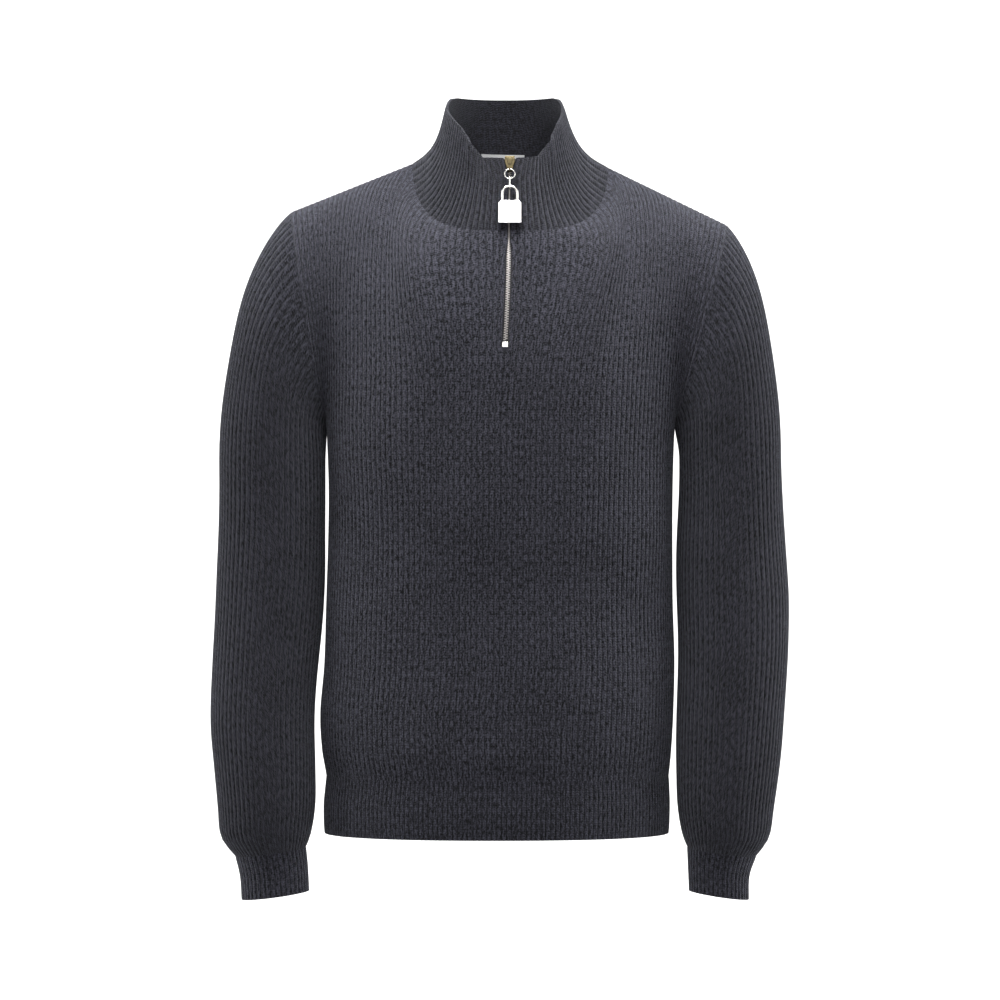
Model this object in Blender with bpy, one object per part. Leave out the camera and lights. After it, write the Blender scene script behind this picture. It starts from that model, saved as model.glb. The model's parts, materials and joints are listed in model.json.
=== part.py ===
"""Half-zip rib-knit pullover with a funnel collar, worn form, empty.

Metres, +Z up, front towards -Y. Left and right are the wearer's: the wearer's left is +X.
The origin is at the height of the side neck points, where the wearer's shoulders carry it.
Every piece of cloth is a closed wall over a grid of points: rows run across, columns run
along the ribs. The outer points are raised at every other column, the inside is plain.
"""
import math

import bmesh
import bpy
import numpy as np
from mathutils import Vector

# ---- driving sizes -------------------------------------------------------------------------
WALL = 0.0020  # knit cloth without its ribs
RIB = 0.0010  # height of a raised rib
SEAM = 0.0003  # between two sewn pieces
ARM_SEAM = 0.0008  # round the armhole, where the walls twist
NECK_SEAM = 0.0006
PANEL_COLUMNS = 84  # half ribs across a panel: 42 raised ribs, every second real one
SHOULDER_COLUMNS = 22  # of those, from the armhole to the neck, each side
YOKE_ROWS = 7  # rows between the armpit and the shoulder
SLEEVE_COLUMNS = 8 * YOKE_ROWS  # four to each row of an armhole edge
COLLAR_COLUMNS = 2 * (PANEL_COLUMNS - 2 * SHOULDER_COLUMNS)  # those of both neck edges
HEM_COLUMNS = 100
CUFF_COLUMNS = 44
COARSE = 4  # the inside has one column to so many outside

BLUNT = 2.3  # exponent of a torso section: 2 is an ellipse, more is boxier
SLEEVE_ROUND = 1.04  # a sleeve's depth over its width

ZIP_LENGTH = 0.125  # below the neck seam, measured down the front
ZIP_CHAIN = 0.0060
ZIP_TAPE = 0.0120
SLIT_AT_STOP = 0.0034  # half widths of the front opening
SLIT_AT_NECK = 0.0016
SLIT_AT_RIM = 0.0066

# Sections of the torso, hem to armpit: height, wearer's right and left side, front, back.
TORSO = (
    # height, right, left, front, back
    (-0.6845, -0.1845, 0.1715, -0.1210, 0.1190),
    (-0.654, -0.1848, 0.1722, -0.1220, 0.1200),
    (-0.625, -0.1825, 0.1714, -0.1210, 0.1190),
    (-0.597, -0.1865, 0.1735, -0.1250, 0.1225),
    (-0.560, -0.1882, 0.1755, -0.1255, 0.1230),
    (-0.507, -0.1838, 0.1768, -0.1240, 0.1200),
    (-0.435, -0.1815, 0.1748, -0.1230, 0.1160),
    (-0.345, -0.1795, 0.1748, -0.1270, 0.1170),
    (-0.285, -0.1808, 0.1762, -0.1290, 0.1190),
    (-0.258, -0.1825, 0.1780, -0.1290, 0.1200),
)
HEM_ROWS = 3  # the first rows are the hem band

# Sections of the sleeves below the armpit: height of the middle, outer and inner edge, how much
# lower the outer edge is than the inner, and how far the middle lies towards the front.
RIGHT_SLEEVE = (
    # height, outer, inner, drop, forward
    (-0.300, -0.2915, -0.1832, 0.000, 0.000),
    (-0.352, -0.2932, -0.1818, 0.000, -0.003),
    (-0.404, -0.2950, -0.1832, 0.000, -0.004),
    (-0.450, -0.2970, -0.1862, 0.000, -0.002),
    (-0.507, -0.2999, -0.1898, 0.000, 0.004),
    (-0.568, -0.3008, -0.1932, 0.000, 0.011),
    (-0.615, -0.2975, -0.1936, 0.000, 0.016),
    (-0.656, -0.2936, -0.1938, 0.003, 0.020),
    (-0.684, -0.2895, -0.1968, 0.006, 0.022),
    (-0.703, -0.2748, -0.2020, 0.009, 0.023),
)
LEFT_SLEEVE = (
    # height, outer, inner, drop, forward
    (-0.300, 0.2863, 0.1800, 0.000, 0.000),
    (-0.352, 0.2898, 0.1803, 0.000, -0.003),
    (-0.404, 0.2925, 0.1800, 0.000, -0.004),
    (-0.450, 0.2945, 0.1795, 0.000, -0.002),
    (-0.507, 0.2935, 0.1795, 0.000, 0.004),
    (-0.568, 0.2884, 0.1795, 0.000, 0.011),
    (-0.615, 0.2840, 0.1795, 0.000, 0.016),
    (-0.656, 0.2786, 0.1800, 0.003, 0.020),
    (-0.684, 0.2735, 0.1835, 0.006, 0.022),
    (-0.703, 0.2600, 0.1890, 0.009, 0.023),
)
RIGHT_CUFF = (
    # height, outer, inner, drop, forward
    (-0.703, -0.2748, -0.2020, 0.009, 0.023),
    (-0.723, -0.2700, -0.2000, 0.009, 0.024),
    (-0.7472, -0.2682, -0.1987, 0.009, 0.025),
)
LEFT_CUFF = (
    # height, outer, inner, drop, forward
    (-0.703, 0.2600, 0.1890, 0.009, 0.023),
    (-0.723, 0.2532, 0.1898, 0.009, 0.024),
    (-0.7472, 0.2524, 0.1908, 0.009, 0.025),
)

RIGHT_CAP, LEFT_CAP = 0.047, 0.038  # how far each sleeve's head runs on from the shoulder
RIGHT_TIP = Vector((-0.2184, 0.004, -0.0450))  # where the shoulder seam meets the armhole
LEFT_TIP = Vector((0.2310, 0.004, -0.0585))
RIGHT_NECK = Vector((-0.0935, 0.012, 0.0055))  # where the shoulder seam meets the neck
LEFT_NECK = Vector((0.1085, 0.012, 0.0015))
NECK_FRONT = Vector((0.0060, -0.0990, -0.0700))
NECK_BACK = Vector((0.0060, 0.0780, 0.0040))

RIM_MIDDLE = Vector((0.0020, 0.0, 0.0))
RIM_HALF_WIDTH = 0.0600
ZIP_TURN = 4.9  # degrees from the rim's front to the zip, which leans to the wearer's left
ZIP_LEAN = 0.0060  # how far the centre column's handle leans with it
RIM_FRONT = 0.0750
RIM_BACK = 0.0710

# How far the wales run on in their own direction: up from the armpit's level, out of the
# armpit, and away from the neck's middle, the neck's side and the shoulder seam.
CHEST_RISE, SIDE_LIFT = 0.095, 0.030
ARMPIT_OUT, ARMPIT_REACH = 0.008, 0.068
MIDDLE_REACH, MIDDLE_FALL = 0.020, 0.050
SIDE_OUT, SIDE_REACH, SIDE_FALL = 0.034, 0.060, 0.030
SHOULDER_REACH, SHOULDER_FALL = 0.090, 0.012
TIP_REACH = 0.022  # how much less of it there is at the shoulder's tip
# Height of the collar's rim by the angle round it from the centre front.
RIM = (
    # angle, right side, left side
    (0, 0.005, 0.005),
    (22, 0.006, 0.006),
    (35, 0.022, 0.008),
    (48, 0.038, 0.024),
    (65, 0.0500, 0.0440),
    (85, 0.0605, 0.0585),
    (98, 0.0685, 0.0675),
    (110, 0.0740, 0.0735),
    (125, 0.0765, 0.0765),
    (180, 0.0770, 0.0770),
)


# ---- points of the surfaces ----------------------------------------------------------------
def bezier(start, start_handle, end_handle, end, share):
    rest = 1 - share
    return (
        rest**3 * start
        + 3 * rest**2 * share * start_handle
        + 3 * rest * share**2 * end_handle
        + share**3 * end
    )


def spaced(line, shares):
    """Points at the given shares of a line's length."""
    line = np.asarray(line, float)
    steps = np.linalg.norm(np.diff(line, axis=0), axis=1)
    run = np.concatenate([[0], np.cumsum(steps)]) / steps.sum()
    return np.stack([np.interp(shares, run, line[:, k]) for k in range(3)], axis=1)


def torso_section(row, facing, shares):
    """Half a section of the torso. Shares run from -1, the wearer's right seam, to 1."""
    height, right, left, front, back = row
    depth = (front if facing < 0 else back) - facing * RIB
    half, middle = (left - right) / 2 - RIB, (left + right) / 2
    turn = np.linspace(-math.pi / 2, math.pi / 2, 241)
    across = np.sign(turn) * np.abs(np.sin(turn)) ** (2 / BLUNT)
    deep = np.abs(np.cos(turn)) ** (2 / BLUNT)
    line = np.stack([middle + half * across, depth * deep, np.full(241, height)], axis=1)
    return spaced(line, (np.asarray(shares) + 1) / 2)


NECK_SHARE = 1 - 2 * SHOULDER_COLUMNS / PANEL_COLUMNS


def top_edge(facing, share):
    """A panel's upper edge: the shoulder seams, and the neck between them."""
    neck, tip = (RIGHT_NECK, RIGHT_TIP) if share < 0 else (LEFT_NECK, LEFT_TIP)
    out = abs(share)
    if out >= NECK_SHARE:
        return neck.lerp(tip, (out - NECK_SHARE) / (1 - NECK_SHARE))
    middle = NECK_FRONT if facing < 0 else NECK_BACK
    turn = math.pi / 2 * out / NECK_SHARE
    sink = 1 - (1 - math.cos(turn)) ** 1.6
    return Vector((
        middle.x + (neck.x - middle.x) * math.sin(turn),
        neck.y + (middle.y - neck.y) * math.cos(turn),
        neck.z + (middle.z - neck.z) * sink,
    ))


def smooth_step(low, high, value):
    share = min(max((value - low) / (high - low), 0), 1)
    return share * share * (3 - 2 * share)


def yoke_column(facing, share, start):
    """The Bezier curve of one column from the armpit's level to the upper edge."""
    out = abs(share)
    side = math.copysign(1, share)
    end = top_edge(facing, share)
    edge = out**8
    lift = smooth_step(0.10, 0.40, out) * (1 - smooth_step(0.45, 0.80, out))
    rise = Vector((ZIP_LEAN * (1 - out) ** 2, 0, CHEST_RISE + SIDE_LIFT * lift))
    rise = rise.lerp(Vector((ARMPIT_OUT * side, ARMPIT_REACH * facing, 0)), edge)
    far = min(max((out - NECK_SHARE) / (1 - NECK_SHARE), 0), 1)
    at_middle = Vector((0, MIDDLE_REACH * facing, -MIDDLE_FALL))
    at_side = Vector((SIDE_OUT * side, SIDE_REACH * facing, -SIDE_FALL))
    at_shoulder = Vector((0, (SHOULDER_REACH - TIP_REACH * far**2) * facing, -SHOULDER_FALL))
    fall = at_middle.lerp(at_side, smooth_step(0.08, 0.36, out))
    fall = fall.lerp(at_shoulder, smooth_step(0.44, 0.64, out))
    return start, start + rise, end + fall, end


def yoke_point(facing, share, start, along):
    return bezier(*yoke_column(facing, share, Vector(start)), along)


def panel_grid(facing, shares, alongs):
    """Rows of a panel from the hem seam to its upper edge."""
    rows = [torso_section(row, facing, shares) for row in TORSO[HEM_ROWS - 1:]]
    chest = rows[-1]
    for along in alongs[1:]:
        rows.append(np.array([
            yoke_point(facing, share, start, along) for share, start in zip(shares, chest)
        ]))
    return np.array(rows)


def tube_ring(row, columns):
    """A section of a sleeve or cuff, from its inner edge round by the front."""
    height, outer, inner, drop, forward = row
    side = math.copysign(1, outer)
    half = abs(outer - inner) / 2 - RIB
    turn = np.linspace(0, 2 * math.pi, columns, endpoint=False)
    inward = np.cos(turn)
    return np.stack([
        (outer + inner) / 2 - side * half * inward,
        -forward - half * SLEEVE_ROUND * np.sin(turn),
        height + drop / 2 * inward,
    ], axis=1)


def sleeve_grid(rows, armhole):
    """Rows of a sleeve from the armhole seam to the cuff seam."""
    side = math.copysign(1, rows[0][1])
    ring = tube_ring(rows[0], SLEEVE_COLUMNS)
    turn = np.linspace(0, 2 * math.pi, SLEEVE_COLUMNS, endpoint=False)
    outer, front = ((1 - np.cos(turn)) / 2)[:, None], np.sin(turn)[:, None]
    cap = RIGHT_CAP if side < 0 else LEFT_CAP
    leave = (
        outer * np.array([cap * side, 0, -0.045])
        + np.abs(front) * np.array([0.012 * side, 0, -0.010])
        + front * np.array([0, -0.012, 0])
        + (1 - outer) * np.array([0.0004 * side, 0, -0.010])
    )
    arrive = outer * np.array([-0.004 * side, 0, 0.105]) + np.array([0, 0, 0.012])
    grid = [
        bezier(armhole, armhole + leave, ring + arrive, ring, along)
        for along in np.linspace(0, 1, YOKE_ROWS)
    ]
    grid += [tube_ring(row, SLEEVE_COLUMNS) for row in rows[1:]]
    return np.array(grid)


def rim_point(angle):
    """The collar's rim. Angles run from the centre front, positive towards the wearer's left."""
    turn = math.radians(angle)
    table = np.array(RIM, float)
    side = 2 if angle > 0 else 1
    deep = RIM_FRONT if math.cos(turn) > 0 else RIM_BACK
    return np.array([
        RIM_MIDDLE.x + RIM_HALF_WIDTH * math.sin(turn),
        RIM_MIDDLE.y - deep * math.cos(turn),
        np.interp(abs(angle), table[:, 0], table[:, side]),
    ])


FLARE_OUT, FLARE_LOW, FLARE_UP = 0.32, 0.13, 0.17  # how the collar's sides leave the seam


def collar_grid(seam, alongs):
    """Rows of the collar from the neck seam to the rim, flared at the sides. Its front edges
    part only above its last row but one."""
    rows = []
    for along in alongs:
        edge = math.degrees((SLIT_AT_RIM if along == 1 else SLIT_AT_NECK) / RIM_HALF_WIDTH)
        rim = [rim_point(angle) for angle in np.linspace(ZIP_TURN + edge, 180, 90)]
        rim += [rim_point(angle) for angle in np.linspace(-180, ZIP_TURN - edge, 90)[1:]]
        rim = spaced(rim, np.linspace(0, 1, len(seam)))
        rise = rim - seam
        level = rise * np.array([1, 1, 0])
        up = rise * np.array([0, 0, 1])
        flare = np.abs(np.sin(np.linspace(0, 2 * math.pi, len(seam))))[:, None]
        first = seam + level * (0.33 + FLARE_OUT * flare) + up * (0.33 - FLARE_LOW * flare)
        second = rim - level * (0.33 - FLARE_LOW * flare) - up * (0.33 + FLARE_UP * flare)
        rows.append(bezier(seam, first, second, rim, along))
    return np.array(rows)


# ---- grids to walls ------------------------------------------------------------------------
def normals(grid, closed):
    """Outward directions at a grid's points."""
    if closed:
        across = np.roll(grid, -1, axis=1) - np.roll(grid, 1, axis=1)
    else:
        across = np.gradient(grid, axis=1)
    out = np.cross(across, np.gradient(grid, axis=0))
    out /= np.linalg.norm(out, axis=2, keepdims=True)
    away = grid - grid.mean(axis=1, keepdims=True)
    if (out * away).sum() < 0:
        out = -out
    return out


def unit(vectors):
    return vectors / np.linalg.norm(vectors, axis=-1, keepdims=True)


def share_normals(*places):
    """Gives points that meet at a seam one direction: each place is an array and an index."""
    common = unit(sum(array[index] for array, index in places))
    for array, index in places:
        array[index] = common


LEVEL_EDGES = {"bottom": (0, 1), "top": (-1, -1), "wrist": (-1, 1), "cuff top": (0, -1)}


def drawn_back(grid, edge):
    """Moves one straight edge of a grid half a seam's width into its own piece."""
    if edge in LEVEL_EDGES:
        row, up = LEVEL_EDGES[edge]
        grid[row, :, 2] += up * SEAM / 2
        return
    facing = math.copysign(SEAM / 2, grid[:, grid.shape[1] // 2, 1].mean())
    if edge == "sides":
        grid[: ARMPIT_ROW + 1, [0, -1], 1] += facing
    else:
        grid[-1, : SHOULDER_COLUMNS + 1, 1] += facing
        grid[-1, -1 - SHOULDER_COLUMNS:, 1] += facing


def along_cloth(line, out, towards):
    """Directions across a seam and in the cloth, from the panel into the other piece."""
    tangent = np.gradient(line, axis=0)
    across = unit(np.cross(tangent, out))
    return across * np.sign((across * towards).sum(axis=1, keepdims=True))


def wall(name, grid, out, inner, material, closed=False, gaps=(), curved=(), flat=(),
         crests=None, thick=WALL):
    """A closed wall. inner lists the columns that the plain inside has, gaps the blocks left
    open, each a row and a place in inner, curved the rows at a seam that isn't straight,
    where the inside has every column, flat the places where the ribs are pressed flat, and
    crests says which columns are raised."""
    rows, columns = grid.shape[:2]
    curved = [row % rows for row in curved]
    crests = np.arange(columns) % 2 == 1 if crests is None else crests
    raised = np.zeros((rows, columns))
    raised[:, crests] = RIB
    for place in flat:
        raised[place] = 0
    mesh = bmesh.new()
    outside = [[mesh.verts.new(p) for p in row] for row in grid + out * raised[:, :, None]]
    under = grid - out * thick
    inside = [
        {c: mesh.verts.new(under[r, c]) for c in (range(columns) if r in curved else inner)}
        for r in range(rows)
    ]
    ends = list(inner[1:]) + ([columns] if closed else [])
    blocks = list(zip(inner, ends))
    present = {
        (r, k): (r, k) not in gaps for r in range(rows - 1) for k in range(len(blocks))
    }

    def at(row, column, line):
        return line[row][column % columns]

    for (r, k), is_there in present.items():
        if not is_there:
            continue
        start, end = blocks[k]
        for c in range(start, end):
            mesh.faces.new([
                at(r, c, outside), at(r, c + 1, outside),
                at(r + 1, c + 1, outside), at(r + 1, c, outside),
            ])
        lower, upper = (
            [at(row, c, inside) for c in
             (range(start, end + 1) if row in curved else (start, end))]
            for row in (r, r + 1)
        )
        mesh.faces.new(lower[::-1] + upper)
        for row, beside in ((r, r - 1), (r + 1, r + 1)):
            if present.get((beside, k), False):
                continue
            parts = [(start, end)]
            if row in curved:
                parts = [(c, c + 1) for c in range(start, end)]
            for first, last in parts:
                line = [at(row, c, outside) for c in range(first, last + 1)]
                line += [at(row, last, inside), at(row, first, inside)]
                mesh.faces.new(line[::-1] if row == r else line)
        for column, beside in ((start, k - 1), (end, k + 1)):
            beside = beside % len(blocks) if closed else beside
            if not present.get((r, beside), False):
                line = [
                    at(r, column, outside), at(r + 1, column, outside),
                    at(r + 1, column, inside), at(r, column, inside),
                ]
                mesh.faces.new(line if column == start else line[::-1])
    if mesh.calc_volume(signed=True) < 0:
        bmesh.ops.reverse_faces(mesh, faces=mesh.faces)
    return finished(name, mesh, material)


def finished(name, mesh, material):
    """A mesh as an object of the garment's collection."""
    data = bpy.data.meshes.new(name)
    mesh.to_mesh(data)
    mesh.free()
    data.shade_smooth()
    data.set_sharp_from_angle(angle=math.radians(50))
    data.materials.append(material)
    made = bpy.data.objects.new(name, data)
    garment.objects.link(made)
    return made


def coarse(columns, closed=False):
    return list(range(0, columns if closed else columns + 1, COARSE))


def finish(name, colour, roughness, metallic=0.0):
    made = bpy.data.materials.new(name)
    made.use_nodes = True
    shader = made.node_tree.nodes["Principled BSDF"]
    shader.inputs["Base Color"].default_value = (*colour, 1)
    shader.inputs["Roughness"].default_value = roughness
    shader.inputs["Metallic"].default_value = metallic
    made.diffuse_color = (*colour, 1)
    return made


for old in list(bpy.data.objects):
    bpy.data.objects.remove(old)
garment = bpy.data.collections.new("half_zip_pullover")
bpy.context.scene.collection.children.link(garment)
knit = finish("charcoal_knit", (0.032, 0.034, 0.040), 0.95)
tape_cloth = finish("zip_tape", (0.010, 0.010, 0.012), 0.90)
steel = finish("polished_steel", (0.78, 0.78, 0.78), 0.15, 1.0)
satin = finish("label_satin", (0.62, 0.64, 0.68), 0.55)


# ---- panels --------------------------------------------------------------------------------
def down_to_stop():
    """The share of the centre column where the zip ends, by its length down the front."""
    start = torso_section(TORSO[-1], -1, [0])[0]
    alongs = np.linspace(0, 1, 200)
    line = np.array([yoke_point(-1, 0, start, along) for along in alongs])
    run = np.concatenate([[0], np.cumsum(np.linalg.norm(np.diff(line, axis=0), axis=1))])
    return float(np.interp(run[-1] - ZIP_LENGTH, run, alongs))


STOP = down_to_stop()
STOP_ROW = len(TORSO) - HEM_ROWS + 2  # the row of the zip's end, two above the armpit's
alongs = [0, STOP / 2, STOP] + list(np.linspace(STOP, 1, YOKE_ROWS - 1)[1:])
ARMPIT_ROW = STOP_ROW - 2
shares = np.linspace(-1, 1, PANEL_COLUMNS + 1)
half = PANEL_COLUMNS // 2
front = panel_grid(-1, shares, alongs)
back = panel_grid(1, shares, alongs)


def with_slit(grid):
    """Two columns in place of the centre one, as far apart as the zip's opening."""
    middle = grid[:, half]
    opening = np.full(len(grid), SLIT_AT_NECK)
    opening[STOP_ROW: STOP_ROW + 4] = SLIT_AT_STOP
    sides = [middle + np.array([[s * w, 0, 0] for w in opening]) for s in (-1, 1)]
    return np.insert(np.delete(grid, half, axis=1), half, np.array(sides), axis=1)


front = with_slit(front)
front_out, back_out = normals(front, False), normals(back, False)
share_normals((front_out, np.s_[:, 0]), (back_out, np.s_[:, 0]))
share_normals((front_out, np.s_[:, -1]), (back_out, np.s_[:, -1]))
shoulder = SHOULDER_COLUMNS + 1
share_normals((front_out, np.s_[-1, :shoulder]), (back_out, np.s_[-1, :shoulder]))
share_normals((front_out, np.s_[-1, -shoulder:]), (back_out, np.s_[-1, -shoulder:]))


# ---- sleeves -------------------------------------------------------------------------------
def armhole_corners(front_edge, back_edge):
    """The armhole seam's corners, from the armpit up the front and down the back to it."""
    return np.concatenate([front_edge, back_edge[::-1]])[
        [*range(YOKE_ROWS + 1), *range(YOKE_ROWS + 2, 2 * YOKE_ROWS + 2)]
    ]


def between(corners):
    """A sleeve's columns on straight runs between the corners."""
    steps = np.arange(SLEEVE_COLUMNS) / 4
    return np.stack([
        np.interp(steps, np.arange(len(corners)), corners[:, k]) for k in range(3)
    ], axis=1)


DOWN = np.array([0, 0, -1.0])


def sewn_sleeve(rows, column):
    """A sleeve's grid and directions. Its seam is the panels' edge column, half a seam's width
    to each side of the armhole's line."""
    edges = front[ARMPIT_ROW:, column], back[ARMPIT_ROW:, column]
    corners = armhole_corners(*edges)
    out = normals(sleeve_grid(rows, between(corners)), True)
    for step in range(1, YOKE_ROWS + 1):
        row = ARMPIT_ROW + step
        seam = [(front_out, np.s_[row, column]), (out, np.s_[0, 4 * step])]
        if step < YOKE_ROWS:
            share_normals(*seam)
            seam = [(out, np.s_[0, SLEEVE_COLUMNS - 4 * step])]
        share_normals(*seam, (back_out, np.s_[row, column]))
    for panel_out in (front_out, back_out):
        panel_out[ARMPIT_ROW, column] = DOWN
        for step, pull in ((1, 1.0), (2, 0.4)):
            place = np.s_[ARMPIT_ROW + step, column]
            panel_out[place] = unit(panel_out[place] + pull * DOWN)
    turned = armhole_corners(front_out[ARMPIT_ROW:, column], back_out[ARMPIT_ROW:, column])
    side = np.array([math.copysign(1, rows[0][1]), 0, 0])
    round_it = np.concatenate([corners[-2:-1], corners, corners[1:2]])
    across = along_cloth(round_it, np.concatenate([turned[-2:-1], turned, turned[1:2]]), side)
    shift = across[1:-1] * ARM_SEAM / 2
    shift[0] = shift[-1] = side * ARM_SEAM / 2
    grid = sleeve_grid(rows, between(corners + shift))
    out[0] = between(turned)
    edges[0][:] -= shift[: YOKE_ROWS + 1]
    edges[1][:] -= shift[YOKE_ROWS:][::-1]
    return grid, out


right_sleeve, right_sleeve_out = sewn_sleeve(RIGHT_SLEEVE, 0)
left_sleeve, left_sleeve_out = sewn_sleeve(LEFT_SLEEVE, -1)


# ---- collar --------------------------------------------------------------------------------
def neck_line(front_row, back_row):
    """The neck seam, from the slit's left edge round the back to its right edge."""
    near, far = SHOULDER_COLUMNS, PANEL_COLUMNS - SHOULDER_COLUMNS
    return np.concatenate([
        front_row[half + 1: far + 2], back_row[near:far][::-1], front_row[near + 1: half + 1],
    ])


COLLAR_ALONGS = (0, 0.36, 0.72, 1)
line = neck_line(front[-1], back[-1])
collar_out = normals(collar_grid(line, COLLAR_ALONGS), False)
turned = unit(neck_line(front_out[-1], back_out[-1]) + collar_out[0])
first = half - SHOULDER_COLUMNS
last = COLLAR_COLUMNS - first
across = along_cloth(line, turned, -DOWN) * NECK_SEAM / 2
collar = collar_grid(line + across, COLLAR_ALONGS)
collar_out[0] = turned
for edge, value in (
    (front[-1], line - across), (front_out[-1], turned),
    (back[-1], line - across), (back_out[-1], turned),
):
    if len(edge) > PANEL_COLUMNS + 1:
        edge[half + 1: len(edge) - SHOULDER_COLUMNS] = value[: first + 1]
        edge[SHOULDER_COLUMNS + 1: half + 1] = value[last + 1:]
        edge[SHOULDER_COLUMNS] = value[last]
    else:
        edge[SHOULDER_COLUMNS: -SHOULDER_COLUMNS] = value[first: last + 1][::-1]

# ---- hem and cuffs -------------------------------------------------------------------------
hem_shares = np.linspace(-1, 1, HEM_COLUMNS + 1)
hems = {}
for name, facing in (("hem_front", -1), ("hem_back", 1)):
    rows = [torso_section(row, facing, hem_shares) for row in TORSO[:HEM_ROWS]]
    grid = np.array(rows)
    hems[name] = (grid, normals(grid, False))
share_normals((hems["hem_front"][1], np.s_[:, 0]), (hems["hem_back"][1], np.s_[:, 0]))
share_normals((hems["hem_front"][1], np.s_[:, -1]), (hems["hem_back"][1], np.s_[:, -1]))


def flat_end(out, row):
    """Level directions along a level seam, which both pieces at it then share."""
    out[row] = unit(out[row] * np.array([1, 1, 0]))


flat_end(front_out, 0)
flat_end(back_out, 0)
flat_end(right_sleeve_out, -1)
flat_end(left_sleeve_out, -1)
cuffs = {}
for name, rows in (("cuff_right", RIGHT_CUFF), ("cuff_left", LEFT_CUFF)):
    grid = np.array([tube_ring(row, CUFF_COLUMNS) for row in rows])
    cuffs[name] = (grid, normals(grid, True))
    flat_end(cuffs[name][1], 0)

# ---- seams and walls -----------------------------------------------------------------------
for edges, grid in (
    (("sides", "bottom", "shoulders"), front),
    (("sides", "bottom", "shoulders"), back),
    (("wrist",), right_sleeve),
    (("wrist",), left_sleeve),
    (("sides", "top"), hems["hem_front"][0]),
    (("sides", "top"), hems["hem_back"][0]),
    (("cuff top",), cuffs["cuff_right"][0]),
    (("cuff top",), cuffs["cuff_left"][0]),
):
    for edge in edges:
        drawn_back(grid, edge)

# The ribs are pressed flat in the crease of the armpit.
PANEL_CREASE = (
    np.s_[ARMPIT_ROW - 1: ARMPIT_ROW + 2, :6], np.s_[ARMPIT_ROW - 1: ARMPIT_ROW + 2, -6:],
)
SLEEVE_CREASE = (np.s_[:2, :7], np.s_[:2, -6:])

front_inner = coarse(half - 2) + [half, half + 1]
front_inner += list(range(half + 3, PANEL_COLUMNS + 2, COARSE))
slit_block = front_inner.index(half)
slit = [(r, slit_block) for r in range(STOP_ROW, len(front) - 1)]
front_crests = np.insert(np.arange(PANEL_COLUMNS + 1) % 2 == 1, half, False)
wall("front", front, front_out, front_inner, knit, gaps=slit, curved=(-1,),
     flat=PANEL_CREASE, crests=front_crests)
wall("back", back, back_out, coarse(PANEL_COLUMNS), knit, curved=(-1,), flat=PANEL_CREASE)
for name, grid, out in (
    ("sleeve_right", right_sleeve, right_sleeve_out),
    ("sleeve_left", left_sleeve, left_sleeve_out),
):
    wall(name, grid, out, coarse(SLEEVE_COLUMNS, True), knit, closed=True, flat=SLEEVE_CREASE)
wall("collar", collar, collar_out, list(range(0, COLLAR_COLUMNS + 1, 2)), knit, curved=(0,))
for name, (grid, out) in hems.items():
    wall(name, grid, out, coarse(HEM_COLUMNS), knit)
for name, (grid, out) in cuffs.items():
    wall(name, grid, out, coarse(CUFF_COLUMNS, True), knit, closed=True)


# ---- zip -----------------------------------------------------------------------------------
def centre_line():
    """Points, outward directions and directions across, down the middle of the collar and the
    front to the stop, on the cloth's plain outside."""
    rim_row = len(collar) - 1
    rows = [(collar, collar_out, row, (0, -1)) for row in range(rim_row, 0, -1)]
    sides = (half, half + 1)
    rows += [(front, front_out, row, sides) for row in range(len(front) - 1, STOP_ROW - 1, -1)]
    points, outs, acrosses = [], [], []
    for grid, out, row, (a, b) in rows:
        edges = (grid[row, a], grid[row, b])
        across = unit(max(edges, key=lambda p: p[0]) - min(edges, key=lambda p: p[0]))
        outward = unit(out[row, a] + out[row, b])
        points.append(sum(edges) / 2)
        outs.append(unit(outward - (outward * across).sum() * across))
        acrosses.append(across)
    return np.array(points), np.array(outs), np.array(acrosses)


zip_line, zip_out, zip_across = centre_line()
CHEST_BEND = 0.110  # radii of the cloth across the zip
COLLAR_BEND = 0.044
BEHIND = WALL + 0.0007  # the zip lies behind the cloth's edges
TAPE_THICK = 0.0010
CHAIN_THICK = 0.0020
SLIDER_ROOM = 0.0130  # from the rim down to where the closed chain starts
STOP_LONG = 0.0055


def strip(name, edges, behind, thick, material, lines):
    """A strip that follows the zip and the cloth's bend, between two distances across it."""
    line, outs, acrosses = lines
    across = np.linspace(*edges, 3)[:, None]
    grid = []
    for point, out, sideways in zip(line, outs, acrosses):
        bend = CHEST_BEND if point[2] < NECK_FRONT.z else COLLAR_BEND
        hollow = np.array([0, 1, 0]) * across**2 / (2 * bend)
        grid.append(point + sideways * across + hollow - out * behind)
    grid = np.array(grid)
    facing = np.repeat(outs[:, None, :], 3, axis=1)
    return wall(name, grid, facing, [0, 1, 2], material, crests=np.zeros(3, bool), thick=thick)


along = np.concatenate([[0], np.cumsum(np.linalg.norm(np.diff(zip_line, axis=0), axis=1))])
for side, name in ((-1, "zip_tape_right"), (1, "zip_tape_left")):
    near = side * (ZIP_CHAIN / 2 + SEAM)
    edges = sorted((near, near + side * ZIP_TAPE))
    strip(name, edges, BEHIND, TAPE_THICK, tape_cloth, (zip_line, zip_out, zip_across))


def cut_line(start, end):
    """The zip's line between two lengths from the rim, with its own rows between."""
    inside = [a for a in along if start + 0.002 < a < end - 0.002]
    places = [start, *inside, end]
    return [
        np.stack([np.interp(places, along, v[:, k]) for k in range(3)], axis=1)
        for v in (zip_line, zip_out, zip_across)
    ]


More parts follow.
